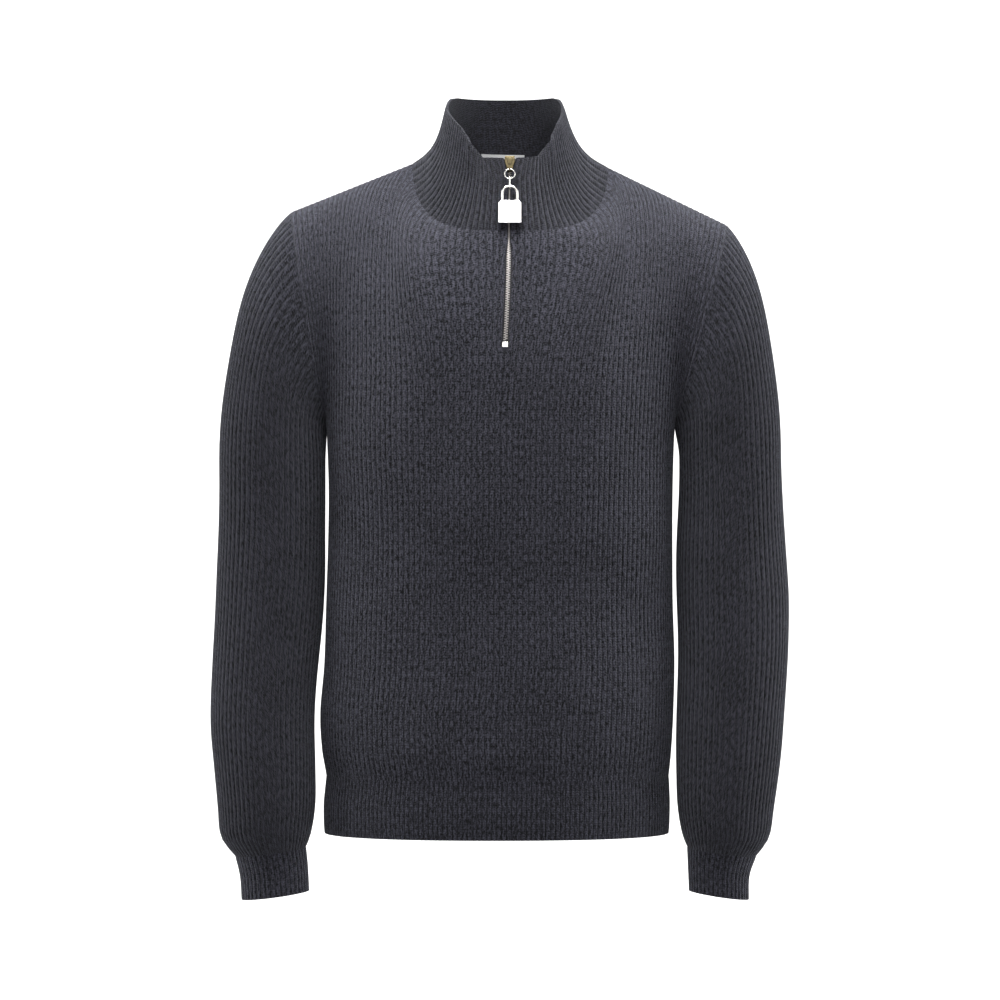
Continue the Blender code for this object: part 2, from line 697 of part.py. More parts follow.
STOP_END = along[-1] - SEAM
chain_lines = cut_line(SLIDER_ROOM, STOP_END - STOP_LONG - SEAM)
strip("zip_chain", (-ZIP_CHAIN / 2, ZIP_CHAIN / 2), BEHIND, CHAIN_THICK, steel,
      chain_lines)
stop_lines = cut_line(STOP_END - STOP_LONG, STOP_END)
strip("zip_stop", (-ZIP_CHAIN / 2, ZIP_CHAIN / 2), BEHIND - 0.0010, CHAIN_THICK, steel,
      stop_lines)

# ---- slider and pull -----------------------------------------------------------------------
# The slider and all that hangs from it are modelled upright, and an empty leans them to lie
# along the collar's front. In its frame -Z is down the collar and -Y is away from it.
HINGE_OUT = 0.0038  # from the ribs' crests to the pull's axes
HINGE_DOWN = 0.0146  # from the rim down the collar to the ring's axis
RING_RADIUS = 0.0052  # to the middle of its wire
RING_WIRE = 0.00088
LINK_WIRE = 0.00075
LINK_INSIDE = 0.0036
SHACKLE_WIRE = 0.00150
SHACKLE_RADIUS = 0.00745
SHACKLE_LEG = 0.0089
LOCK = Vector((0.0231, 0.0064, 0.0242))
RUNNING = 0.0003
DROP = 0.0082  # from the ring's lowest point to the top of the shackle, wire to wire

slope = math.atan2(zip_line[0][1] - zip_line[1][1], zip_line[0][2] - zip_line[1][2])
lean = bpy.data.objects.new("pull_lean", None)
garment.objects.link(lean)
down_collar = unit(zip_line[1] - zip_line[0])
away = np.array([0, -math.cos(slope), math.sin(slope)])
lean.location = zip_line[0] + down_collar * HINGE_DOWN + away * (RIB + HINGE_OUT)
lean.rotation_euler = (-slope, 0, 0)


def axis_empty(name, down, parent):
    made = bpy.data.objects.new(name, None)
    garment.objects.link(made)
    made.parent = parent
    made.location = (0, 0, -down)
    return made


def under(parent, made):
    made.parent = parent
    return made


def mesh_of(name, make, material):
    mesh = bmesh.new()
    make(mesh)
    return finished(name, mesh, material)


def tube(name, points, radius, closed, material, sides=4):
    """A wire through points, as a mesh with its ends closed."""
    curve = bpy.data.curves.new(name, "CURVE")
    curve.dimensions = "3D"
    curve.bevel_depth = radius
    curve.bevel_resolution = sides // 2 - 1
    curve.use_fill_caps = not closed
    spline = curve.splines.new("POLY")
    spline.points.add(len(points) - 1)
    for place, point in zip(spline.points, points):
        place.co = (*point, 1)
    spline.use_cyclic_u = closed
    holder = bpy.data.objects.new(name + "_wire", curve)
    garment.objects.link(holder)
    graph = bpy.context.evaluated_depsgraph_get()
    data = bpy.data.meshes.new_from_object(holder.evaluated_get(graph))
    bpy.data.objects.remove(holder)
    mesh = bmesh.new()
    mesh.from_mesh(data)
    bpy.data.meshes.remove(data)
    bmesh.ops.remove_doubles(mesh, verts=mesh.verts, dist=1e-6)
    bmesh.ops.recalc_face_normals(mesh, faces=mesh.faces)
    return finished(name, mesh, material)


def circle(radius, count, middle=(0, 0, 0), plane="xz"):
    turns = [2 * math.pi * k / count for k in range(count)]
    axes = {"xz": (0, 2), "yz": (1, 2)}[plane]
    points = []
    for turn in turns:
        point = list(middle)
        point[axes[0]] += radius * math.sin(turn)
        point[axes[1]] += radius * math.cos(turn)
        points.append(tuple(point))
    return points


# The slider: a tapered block with a bail, a small eye that stands out from its lower end.
SLIDER = Vector((0.0110, 0.0050, 0.0160))
SLIDER_TAPER = 0.44  # its lower end's width over its upper end's
SLIDER_PROUD = 0.0016  # its face, above the ribs' crests
BAIL_RADIUS = 0.0021
BAIL_WIRE = 0.00062
slider_top = HINGE_DOWN + 0.0012


def slider_block(mesh):
    bmesh.ops.create_cube(mesh, size=1)
    bmesh.ops.scale(mesh, vec=SLIDER, verts=mesh.verts)
    for vert in mesh.verts:
        if vert.co.z < 0:
            vert.co.x *= SLIDER_TAPER
    middle = Vector((0, HINGE_OUT - SLIDER_PROUD + SLIDER.y / 2, slider_top - SLIDER.z / 2))
    bmesh.ops.translate(mesh, vec=middle, verts=mesh.verts)
    bmesh.ops.bevel(
        mesh, geom=list(mesh.edges), offset=0.0008, segments=2, affect="EDGES", profile=0.5
    )


slider = under(lean, mesh_of("slider", slider_block, steel))
bail_middle = (0, 0.0002, RUNNING)
bail = under(lean, tube("bail", circle(BAIL_RADIUS, 16, bail_middle, "yz"), BAIL_WIRE, True, steel))
bail.hide_render = True
bail.display_type = "WIRE"
cutters = bpy.data.collections.new("joined_shapes")
bpy.context.scene.collection.children.link(cutters)
garment.objects.unlink(bail)
cutters.objects.link(bail)
joined = slider.modifiers.new("bail", "BOOLEAN")
joined.operation = "UNION"
joined.object = bail

ring = under(lean, tube(
    "pull_ring", circle(RING_RADIUS, 24, (0, 0, -RING_RADIUS)), RING_WIRE, True, steel
))


def link_path():
    """An oval in the plane across the ring, from inside the ring to inside the shackle."""
    bend = LINK_INSIDE / 2 + LINK_WIRE
    top = RING_WIRE + RUNNING - LINK_INSIDE / 2
    bottom = -DROP - SHACKLE_WIRE - RUNNING + LINK_INSIDE / 2
    turns = [math.pi * k / 8 for k in range(9)]
    upper = [(0, -bend * math.cos(t), top + bend * math.sin(t)) for t in turns]
    lower = [(0, bend * math.cos(t), bottom - bend * math.sin(t)) for t in turns]
    return upper + lower


link_axis = axis_empty("link_axis", 2 * RING_RADIUS, lean)
under(link_axis, tube("link", link_path(), LINK_WIRE, True, steel))
lock_axis = axis_empty("lock_axis", DROP, link_axis)
legs_end = -SHACKLE_RADIUS - SHACKLE_LEG
arch = [math.pi * k / 12 for k in range(13)]
shackle_path = [(-SHACKLE_RADIUS, 0, legs_end)]
shackle_path += [
    (-SHACKLE_RADIUS * math.cos(t), 0, -SHACKLE_RADIUS + SHACKLE_RADIUS * math.sin(t))
    for t in arch
]
shackle_path.append((SHACKLE_RADIUS, 0, legs_end))
under(lock_axis, tube("shackle", shackle_path, SHACKLE_WIRE, False, steel))


def lock_block(mesh):
    bmesh.ops.create_cube(mesh, size=1)
    bmesh.ops.scale(mesh, vec=LOCK, verts=mesh.verts)
    bmesh.ops.translate(mesh, vec=(0, 0, legs_end - RUNNING - LOCK.z / 2), verts=mesh.verts)
    top = max(vert.co.z for vert in mesh.verts)
    shoulders = []
    for edge in mesh.edges:
        a, b = (vert.co for vert in edge.verts)
        if min(a.z, b.z) > top - 1e-6 and abs(a.x - b.x) < 1e-6:
            shoulders.append(edge)
    bmesh.ops.bevel(mesh, geom=shoulders, offset=0.0024, segments=1, affect="EDGES")
    bmesh.ops.bevel(
        mesh, geom=list(mesh.edges), offset=0.0007, segments=2, affect="EDGES", profile=0.5
    )


under(lock_axis, mesh_of("padlock", lock_block, steel))

# ---- label ---------------------------------------------------------------------------------
LABEL_WIDE = 0.0450
LABEL_TALL = 0.0170
LABEL_THICK = 0.0010
LABEL_BOTTOM = 0.0062  # height of its lower edge inside the back of the collar


def label_wall():
    """A strip made from the collar's points, moved in past its plain inside."""
    middle = COLLAR_COLUMNS // 2
    columns = range(middle - 8, middle + 9)
    inside = collar - collar_out * (WALL + 0.0008)
    rows = []
    for height in (LABEL_BOTTOM, LABEL_BOTTOM + LABEL_TALL / 2, LABEL_BOTTOM + LABEL_TALL):
        line = np.array([
            [np.interp(height, inside[:, c, 2], inside[:, c, k]) for k in range(2)] + [height]
            for c in columns
        ])
        reach = np.linspace(-LABEL_WIDE / 2, LABEL_WIDE / 2, 9)[::-1]
        order = np.argsort(line[:, 0])
        rows.append([
            [x, np.interp(x, line[order, 0], line[order, 1]), height - 0.02 * x] for x in reach
        ])
    grid = np.array(rows)
    out = normals(grid, False)
    if out[1, 4, 1] < 0:
        out = -out
    wall("label", grid, out, list(range(9)), satin, crests=np.zeros(9, bool), thick=LABEL_THICK)


label_wall()
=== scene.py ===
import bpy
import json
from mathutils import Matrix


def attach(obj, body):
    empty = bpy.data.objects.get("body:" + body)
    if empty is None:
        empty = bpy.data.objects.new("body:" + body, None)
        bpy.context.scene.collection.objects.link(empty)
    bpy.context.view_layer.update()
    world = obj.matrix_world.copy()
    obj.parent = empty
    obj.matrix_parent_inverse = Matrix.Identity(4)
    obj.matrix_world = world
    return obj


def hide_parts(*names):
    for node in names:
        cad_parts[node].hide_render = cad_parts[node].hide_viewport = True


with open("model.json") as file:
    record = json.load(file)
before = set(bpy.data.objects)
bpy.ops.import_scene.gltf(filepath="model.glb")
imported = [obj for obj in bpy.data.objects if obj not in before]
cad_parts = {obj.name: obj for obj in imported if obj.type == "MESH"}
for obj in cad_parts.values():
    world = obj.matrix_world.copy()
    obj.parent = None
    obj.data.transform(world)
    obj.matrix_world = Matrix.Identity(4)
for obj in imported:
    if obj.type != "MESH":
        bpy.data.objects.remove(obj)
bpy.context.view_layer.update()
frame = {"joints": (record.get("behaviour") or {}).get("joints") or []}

import json
import math

import bmesh
import bpy
import numpy as np
from mathutils import Matrix, Vector

# ---- Camera, floor and studio light ---------------------------------------------------------
# The pullover hangs as if worn in front of a plain white sweep of paper. Two tall soft boxes
# stand beside it, so that its sides are lighter than its middle. A wide one fills from the
# front, and a small one above it lights the shoulders.
EYE = Vector((-0.003, -4.5, -0.342))
FIELD = 1.032  # metres across the picture at the garment

lens = bpy.data.cameras.new("camera")
lens.sensor_width = 36
lens.lens = 36 * -EYE.y / FIELD
camera = bpy.data.objects.new("camera", lens)
camera.location = EYE
camera.rotation_euler = (math.pi / 2, 0, 0)
bpy.context.scene.collection.objects.link(camera)
bpy.context.scene.camera = camera
bpy.context.scene.view_settings.view_transform = "Standard"


def linear(colour):
    """An sRGB hex colour as linear red, green, blue and alpha."""
    parts = [int(colour[k:k + 2], 16) / 255 for k in (1, 3, 5)]
    return (*[p / 12.92 if p <= 0.04045 else ((p + 0.055) / 1.055) ** 2.4 for p in parts], 1)


def place(tree, kind, settings=None, **links):
    """A node of a material with its settings. Links are sockets or values, by input name or
    number, such as in0."""
    made = tree.nodes.new("ShaderNode" + kind)
    for key, value in (settings or {}).items():
        setattr(made, key, value)
    for key, value in links.items():
        socket = made.inputs[int(key[2:])] if key.startswith("in") else made.inputs[key.replace("_", " ")]
        if isinstance(value, bpy.types.NodeSocket):
            tree.links.new(value, socket)
        else:
            socket.default_value = value
    return made.outputs[0]


def blank_material(name):
    made = bpy.data.materials.new(name)
    made.use_nodes = True
    return made, made.node_tree, made.node_tree.nodes["Principled BSDF"]


world = bpy.data.worlds.new("studio")
world.use_nodes = True
world.node_tree.nodes["Background"].inputs["Color"].default_value = linear("#ffffff")
world.node_tree.nodes["Background"].inputs["Strength"].default_value = 0.34
bpy.context.scene.world = world

for name, spot, size, power in (
    ("left_box", (-1.7, 0.1, 0.2), (0.7, 1.8), 20),
    ("right_box", (1.7, 0.1, 0.2), (0.7, 1.8), 24),
    ("front_box", (0.0, -2.6, 0.3), (1.6, 1.0), 26),
    ("top_box", (0.0, -0.35, 0.95), (0.6, 0.5), 30),
):
    box = bpy.data.lights.new(name, "AREA")
    box.shape = "RECTANGLE"
    box.size, box.size_y = size
    box.energy = power
    lamp = bpy.data.objects.new(name, box)
    lamp.location = spot
    lamp.rotation_euler = (Vector((0, 0, -0.34)) - Vector(spot)).to_track_quat("-Z", "Y").to_euler()
    bpy.context.scene.collection.objects.link(lamp)

FLOOR = -0.90
bpy.ops.object.select_all(action="DESELECT")
bpy.ops.mesh.primitive_plane_add(size=1, location=(0, 0, 0))
sweep = bpy.context.object
sweep.name = "studio_sweep"
turns = [math.pi / 2 * k / 12 for k in range(13)]
profile = [(-8.0, FLOOR)] + [(2.5 + 1.5 * math.sin(t), FLOOR + 1.5 - 1.5 * math.cos(t)) for t in turns]
profile.append((4.0, 6.0))
sheet = bmesh.new()
rows = [[sheet.verts.new((x, y, z)) for x in (-9, 9)] for y, z in profile]
for low, high in zip(rows, rows[1:]):
    sheet.faces.new((low[0], low[1], high[1], high[0]))
sheet.to_mesh(sweep.data)
sheet.free()
sweep.data.shade_smooth()
paper, tree, shader = blank_material("white_studio_paper")
depth = tree.nodes.new("ShaderNodeSeparateXYZ")
tree.links.new(place(tree, "TexCoord").node.outputs["Object"], depth.inputs[0])
behind = place(tree, "MapRange", in0=depth.outputs[1], in1=-0.15, in2=0.25)
shade = place(tree, "MixRGB", Fac=behind, Color1=linear("#8c8c8c"), Color2=linear("#f4f4f4"))
tree.links.new(shade, shader.inputs["Base Color"])
shader.inputs["Roughness"].default_value = 0.9
shader.inputs["Emission Color"].default_value = linear("#ffffff")
tree.links.new(place(tree, "Math", {"operation": "MULTIPLY_ADD"}, in0=behind, in1=0.60, in2=0.10),
               shader.inputs["Emission Strength"])
sweep.data.materials.clear()
sweep.data.materials.append(paper)

# A white card high in front, which only polished metal mirrors.
bpy.ops.object.select_all(action="DESELECT")
card_turn = (math.radians(-36) + math.pi / 2, 0, 0)
bpy.ops.mesh.primitive_plane_add(size=1, location=(0, -2.2, 1.6), rotation=card_turn)
card = bpy.context.object
card.name = "reflector_card"
card.scale = (2.0, 1.5, 1)
bpy.ops.object.transform_apply(location=True, rotation=True, scale=True)
card.visible_camera = card.visible_diffuse = card.visible_shadow = False
glow, tree, shader = blank_material("white_card")
shader.inputs["Emission Color"].default_value = linear("#ffffff")
shader.inputs["Emission Strength"].default_value = 1.5
card.data.materials.append(glow)

# ---- Front and back panels ------------------------------------------------------------------
# Two knitted panels of charcoal melange wool, full needle rib, 84 ribs across each, sewn at
# the sides and shoulders. The wales run up the panel and turn in to the neck.
WALL = 0.0020  # cloth between the ribs
RIB_HIGH = 0.0012
CREST = 0.0010  # how far the CAD solids' crests stand out of the lines below
PANEL_RIBS = 84
PANEL_PITCH = 0.0060
STITCHES = 6  # points across one rib
BLUNT = 2.3  # exponent of a torso section: 2 is an ellipse, more is boxier
NECK_SHARE = 40 / 84  # of a panel's half width, where its upper edge turns from shoulder to neck

TORSO = np.array((
    # height, right, left, front, back
    (-0.6845, -0.1845, 0.1715, -0.1210, 0.1190),
    (-0.654, -0.1848, 0.1722, -0.1220, 0.1200),
    (-0.625, -0.1825, 0.1714, -0.1210, 0.1190),
    (-0.597, -0.1865, 0.1735, -0.1250, 0.1225),
    (-0.560, -0.1882, 0.1755, -0.1255, 0.1230),
    (-0.507, -0.1838, 0.1768, -0.1240, 0.1200),
    (-0.435, -0.1815, 0.1748, -0.1230, 0.1160),
    (-0.345, -0.1795, 0.1748, -0.1270, 0.1170),
    (-0.285, -0.1808, 0.1762, -0.1290, 0.1190),
    (-0.258, -0.1825, 0.1780, -0.1290, 0.1200),
))
HEM_ROW, ARMPIT_ROW = 2, 9  # rows of the table at the hem seam and at the armpit
RIGHT_TIP, LEFT_TIP = np.array((-0.2184, 0.004, -0.0450)), np.array((0.2310, 0.004, -0.0585))
RIGHT_NECK, LEFT_NECK = np.array((-0.0935, 0.012, 0.0055)), np.array((0.1085, 0.012, 0.0015))
NECK_FRONT, NECK_BACK = np.array((0.0060, -0.0990, -0.0700)), np.array((0.0060, 0.0780, 0.0040))
ZIP_LEAN = 0.0060
ZIP_LENGTH = 0.125
SLIT_AT_STOP, SLIT_AT_NECK = 0.0034, 0.0010
SLIT_REACH = 0.014  # how far from the slit the ribs move aside for it


def through(table, places):
    """A smooth line through a table's rows, read at fractional row numbers."""
    places = np.asarray(places, float)
    low = np.clip(np.floor(places).astype(int), 0, len(table) - 2)
    slope = np.gradient(table, axis=0)
    t = (places - low)[:, None]
    return (
        (2 * t**3 - 3 * t**2 + 1) * table[low] + (t**3 - 2 * t**2 + t) * slope[low]
        + (3 * t**2 - 2 * t**3) * table[low + 1] + (t**3 - t**2) * slope[low + 1]
    )


def bezier(start, first, second, end, share):
    rest = 1 - share
    return rest**3 * start + 3 * rest**2 * share * first + 3 * rest * share**2 * second + share**3 * end


def lengths(line):
    """How far along a line each of its points lies."""
    return np.concatenate([[0], np.cumsum(np.linalg.norm(np.diff(line, axis=0), axis=1))])


def spaced(line, shares):
    """Points at the given shares of a line's length."""
    run = lengths(line)
    return np.stack([np.interp(shares, run / run[-1], line[:, k]) for k in range(3)], axis=1)


def eased(low, high, value):
    share = np.clip((value - low) / (high - low), 0, 1)
    return share * share * (3 - 2 * share)


def torso_section(row, facing, shares):
    """Half a section of the torso. Shares run from -1, the wearer's right seam, to 1."""
    height, right, left, front, back = row
    depth = (front if facing < 0 else back) - facing * CREST
    half, middle = (left - right) / 2 - CREST, (left + right) / 2
    turn = np.linspace(-math.pi / 2, math.pi / 2, 361)
    across = np.sign(turn) * np.abs(np.sin(turn)) ** (2 / BLUNT)
    deep = np.abs(np.cos(turn)) ** (2 / BLUNT)
    line = np.stack([middle + half * across, depth * deep, np.full(361, height)], axis=1)
    return spaced(line, (shares + 1) / 2)


def top_edge(facing, shares):
    """A panel's upper edge: the shoulder seams, and the neck between them."""
    right = (shares < 0)[:, None]
    neck, tip = np.where(right, RIGHT_NECK, LEFT_NECK), np.where(right, RIGHT_TIP, LEFT_TIP)
    out = np.abs(shares)[:, None]
    middle = NECK_FRONT if facing < 0 else NECK_BACK
    turn = math.pi / 2 * np.minimum(out / NECK_SHARE, 1)
    bend = np.concatenate([np.sin(turn), 1 - np.cos(turn), 1 - (1 - np.cos(turn)) ** 1.6], axis=1)
    at_neck = np.stack([
        middle[0] + (neck[:, 0] - middle[0]) * bend[:, 0],
        middle[1] + (neck[:, 1] - middle[1]) * bend[:, 1],
        neck[:, 2] + (middle[2] - neck[:, 2]) * bend[:, 2],
    ], axis=1)
    at_shoulder = neck + (tip - neck) * (out - NECK_SHARE) / (1 - NECK_SHARE)
    return np.where(out >= NECK_SHARE, at_shoulder, at_neck)


def yoke(facing, shares, start, alongs):
    """Rows of a panel from the armpit's level to its upper edge, each wale one curve."""
    out, side = np.abs(shares)[:, None], np.sign(shares)[:, None]
    end = top_edge(facing, shares)
    edge = out**8
    rise = np.concatenate([ZIP_LEAN * (1 - out) ** 2, 0 * out, 0 * out + 0.095], axis=1)
    at_edge = np.concatenate([0.008 * side, 0 * out + 0.068 * facing, 0 * out], axis=1)
    rise = rise * (1 - edge) + edge * at_edge
    lift = eased(0.10, 0.40, out) * (1 - eased(0.45, 0.80, out))
    zero = 0 * out
    rise = rise + np.concatenate([zero, zero, 0.030 * lift * (1 - edge)], axis=1)
    far = np.clip((out - NECK_SHARE) / (1 - NECK_SHARE), 0, 1)
    at_middle = np.concatenate([zero, zero + 0.020 * facing, zero - 0.050], axis=1)
    at_side = np.concatenate([0.034 * side, zero + 0.060 * facing, zero - 0.030], axis=1)
    at_shoulder = np.concatenate([zero, (0.090 - 0.022 * far**2) * facing, zero - 0.012], axis=1)
    first, second = eased(0.08, 0.36, out), eased(0.46, 0.92, out)
    fall = at_middle * (1 - first) + at_side * first
    fall = fall * (1 - second) + at_shoulder * second
    return np.array([bezier(start, start + rise, end + fall, end, along) for along in alongs])


def directions(grid, closed):
    """Outward directions at a grid's points."""
    across = np.roll(grid, -1, axis=1) - np.roll(grid, 1, axis=1) if closed else np.gradient(grid, axis=1)
    out = np.cross(across, np.gradient(grid, axis=0))
    out /= np.maximum(np.linalg.norm(out, axis=2, keepdims=True), 1e-12)
    if (out * (grid - grid.mean(axis=1, keepdims=True))).sum() < 0:
        out = -out
    return out


def soft_folds(grid, out, high, still):
    """Shallow waves in the cloth, a millimetre or so, that fade out where it is held."""
    x, y, z = grid[:, :, 0], grid[:, :, 1], grid[:, :, 2]
    waves = (
        np.sin(31 * x + 9 * z + 1.3) * np.sin(17 * z + 0.4)
        + 0.7 * np.sin(57 * x - 23 * z + 40 * y) * np.sin(9 * z - 2.0)
        + 0.5 * np.sin(12 * x + 38 * z + 2.2)
    )
    return grid + out * (high * waves * still)[:, :, None]


def knit(name, grid, out, ribs, pitch, high, materials, closed=False, slit=None, flat=1.0, thick=WALL):
    """A closed wall of rib knit over a grid of points. Ribs gives each column its place in
    ribs, slit the middle columns and first row of an opening, flat how much of the ribs'
    height is left at each point. Its map, cloth, is in metres across and along the wales. The
    second of two materials is for its inside."""
    rows, columns = grid.shape[:2]
    phase = np.abs(2 * (ribs[:columns] % 1) - 1)
    raised = high * (1 - phase**2.4)[None, :] * flat
    outer = grid + out * raised[:, :, None]
    wide = columns + 1 if closed else columns
    inner_at = list(range(0, wide, STITCHES // 2))
    if inner_at[-1] != wide - 1:
        inner_at.append(wide - 1)
    if slit:
        inner_at = sorted(set(inner_at) | {slit[0], slit[0] + 1})
    inner = grid - out * thick
    own = inner_at[:-1] if closed else inner_at
    points = np.concatenate([outer.reshape(-1, 3), inner[:, own].reshape(-1, 3)])
    back_start, inner_wide = rows * columns, len(own)
    inner_of = {c: k % inner_wide for k, c in enumerate(inner_at)}

    def face_out(r, c):
        return r * columns + c % columns, ribs[c] * pitch, run[r, c % columns]

    def face_in(r, c):
        return back_start + r * inner_wide + inner_of[c], ribs[c] * pitch, run[r, c % columns]

    steps = np.linalg.norm(np.diff(grid, axis=0), axis=2)
    run = np.concatenate([np.zeros((1, columns)), np.cumsum(steps, axis=0)])
    faces, inward, is_open = [], [], set()
    blocks = list(zip(inner_at, inner_at[1:]))
    if slit:
        is_open = {(r, slit[0]) for r in range(slit[1], rows - 1)}
    for r in range(rows - 1):
        for c in range(wide - 1):
            if (r, c) not in is_open:
                faces.append([face_out(r, c), face_out(r, c + 1), face_out(r + 1, c + 1), face_out(r + 1, c)])
        for start, end in blocks:
            if (r, start) not in is_open:
                inward.append([
                    face_in(r + 1, start), face_in(r + 1, end), face_in(r, end), face_in(r, start)])
    for r, turn in ((0, 1), (rows - 1, -1)):
        for start, end in blocks:
            if turn < 0 and (r - 1, start) in is_open:
                continue
            line = [face_out(r, c) for c in range(start, end + 1)] + [face_in(r, end), face_in(r, start)]
            faces.append(line[::-1] if turn > 0 else line)
    edges = [] if closed else [(0, 1, range(rows - 1)), (wide - 1, -1, range(rows - 1))]
    if slit:
        edges += [(slit[0], -1, range(slit[1], rows - 1)), (slit[0] + 1, 1, range(slit[1], rows - 1))]
        s = slit[0]
        faces.append([
            face_out(slit[1], s), face_out(slit[1], s + 1), face_in(slit[1], s + 1), face_in(slit[1], s)])
    for c, turn, span in edges:
        for r in span:
            line = [face_out(r, c), face_out(r + 1, c), face_in(r + 1, c), face_in(r, c)]
            faces.append(line if turn > 0 else line[::-1])
    outward = len(faces)
    faces += inward
    data = bpy.data.meshes.new(name)
    data.from_pydata(points, [], [[corner[0] for corner in face] for face in faces])
    cloth = data.uv_layers.new(name="cloth")
    cloth.data.foreach_set("uv", [value for face in faces for corner in face for value in corner[1:]])
    made = bpy.data.objects.new(name, data)
    bpy.context.scene.collection.objects.link(made)
    shape = bmesh.new()
    shape.from_mesh(data)
    if shape.calc_volume(signed=True) < 0:
        bmesh.ops.reverse_faces(shape, faces=shape.faces)
    shape.to_mesh(data)
    shape.free()
    data.shade_smooth()
    data.set_sharp_from_angle(angle=math.radians(62))
    for material in materials:
        data.materials.append(material)
    if len(materials) > 1:
        data.polygons.foreach_set("material_index", [int(k >= outward) for k in range(len(faces))])
    return made


def wool_rib(name, pitch, ground, fleck, painted_rib_shade, stitch=0.0026):
    """Charcoal melange wool, knitted in a rib: matt and slightly hairy, flecked with grey
    fibres along the courses, its stitches leaning into the crest of each rib from both
    sides. Stitches are drawn 2.6 mm high, a little over the real ones, to show. Its colour
    is darkened between the ribs and between the stitch loops, and lifted on the loops, as
    painted shade and light."""
    made, tree, shader = blank_material(name)
    cloth = place(tree, "UVMap", {"uv_map": "cloth"})
    split = tree.nodes.new("ShaderNodeSeparateXYZ")
    tree.links.new(cloth, split.inputs[0])
    across, along = split.outputs[0], split.outputs[1]

    def sum_up(how, a, b=0.0):
        return place(tree, "Math", {"operation": how}, in0=a, in1=b)

    side = sum_up("ABSOLUTE", sum_up("SUBTRACT", sum_up("FRACT", sum_up("DIVIDE", across, pitch)), 0.5))
    crest = sum_up("SUBTRACT", 1.0, sum_up("MULTIPLY", side, 2.0))
    lean = sum_up("ADD", sum_up("DIVIDE", along, stitch), sum_up("MULTIPLY", side, 1.1))
    loop = sum_up("ABSOLUTE", sum_up("SINE", sum_up("MULTIPLY", lean, math.pi)))
    streaks, specks = (
        place(tree, "TexNoise", {"noise_dimensions": "2D"},
              Vector=place(tree, "Mapping", Vector=cloth, Scale=scale),
              Scale=1.0, Detail=2.0, Roughness=0.6)
        for scale in ((560, 180, 1), (640, 560, 1)))
    spot = place(tree, "TexCoord")
    spot = spot.node.outputs["Object"]
    clouds = place(tree, "TexNoise", Vector=spot, Scale=26.0, Detail=3.0, Roughness=0.6)
    fibres = place(tree, "TexNoise", Vector=spot, Scale=1400.0, Detail=2.0, Roughness=0.7)
    tint = sum_up("ADD", sum_up("MULTIPLY", streaks, 2.8), sum_up("MULTIPLY", specks, 2.0))
    tint = sum_up(
        "ADD", tint, sum_up("ADD", sum_up("MULTIPLY", clouds, 0.5), sum_up("MULTIPLY", fibres, 0.6)))
    tint = sum_up("SUBTRACT", tint, 2.45)
    colour = place(tree, "MixRGB", Fac=tint, Color1=linear(ground), Color2=linear(fleck))
    tree.nodes[-1].use_clamp = True
    # Painted shade: the colour is darkened in the hollows between the ribs and between the stitch loops, and
    # a little lighter on the loops.
    depth = place(tree, "MapRange", in0=crest, in1=0.0, in2=0.45, in3=painted_rib_shade, in4=1.0)
    depth = sum_up("MULTIPLY", depth, place(tree, "MapRange", in0=loop, in1=0.0, in2=1.0, in3=0.72, in4=1.12))
    colour = place(tree, "MixRGB", {"blend_type": "MULTIPLY"}, Fac=1.0, Color1=colour, Color2=depth)
    tree.links.new(colour, shader.inputs["Base Color"])
    shader.inputs["Roughness"].default_value = 0.92
    shader.inputs["Specular IOR Level"].default_value = 0.15
    shader.inputs["Sheen Weight"].default_value = 0.16
    shader.inputs["Sheen Roughness"].default_value = 0.55
    shader.inputs["Sheen Tint"].default_value = linear("#c9ccd6")
    height = sum_up("ADD", sum_up("MULTIPLY", loop, 0.8), sum_up("MULTIPLY", fibres, 0.7))
    bump = place(tree, "Bump", Height=height, Strength=0.8, Distance=0.0006)
    tree.links.new(bump, shader.inputs["Normal"])
    return made


wool_body = wool_rib("wool_rib_knit", PANEL_PITCH, "#08080b", "#41414b", 0.40)
# The inside faces use a darker copy of the same wool: painted shade inside the garment.
purl_side = wool_rib("wool_purl_side", PANEL_PITCH, "#060608", "#1f1f27", 0.75, 0.0018)
PANEL_COLUMNS = PANEL_RIBS * STITCHES
shares = np.linspace(-1, 1, PANEL_COLUMNS + 1)
half = PANEL_COLUMNS // 2
TORSO_ROWS, YOKE_ROWS = 58, 40
panel_places = np.interp(
    np.linspace(TORSO[HEM_ROW, 0], TORSO[ARMPIT_ROW, 0], TORSO_ROWS), TORSO[HEM_ROW:, 0],
    np.arange(HEM_ROW, ARMPIT_ROW + 1),
)
yoke_alongs = np.linspace(0, 1, YOKE_ROWS)


def panel(facing):
    rows = [torso_section(row, facing, shares) for row in through(TORSO, panel_places)]
    return np.concatenate([rows, yoke(facing, shares, rows[-1], yoke_alongs)[1:]])


def settled(grid, out):
    """Soft folds over a panel, still at its seams and its edges."""
    rows, columns = grid.shape[:2]
    up = np.arange(rows)[:, None]
    side = 1 - np.abs(shares if columns == len(shares) else np.insert(shares, half, 0))[None, :]
    still = eased(0, 10, up) * eased(0, 14, rows - 1 - up) * eased(0.0, 0.16, side)
    return soft_folds(grid, out, 0.0011, still)


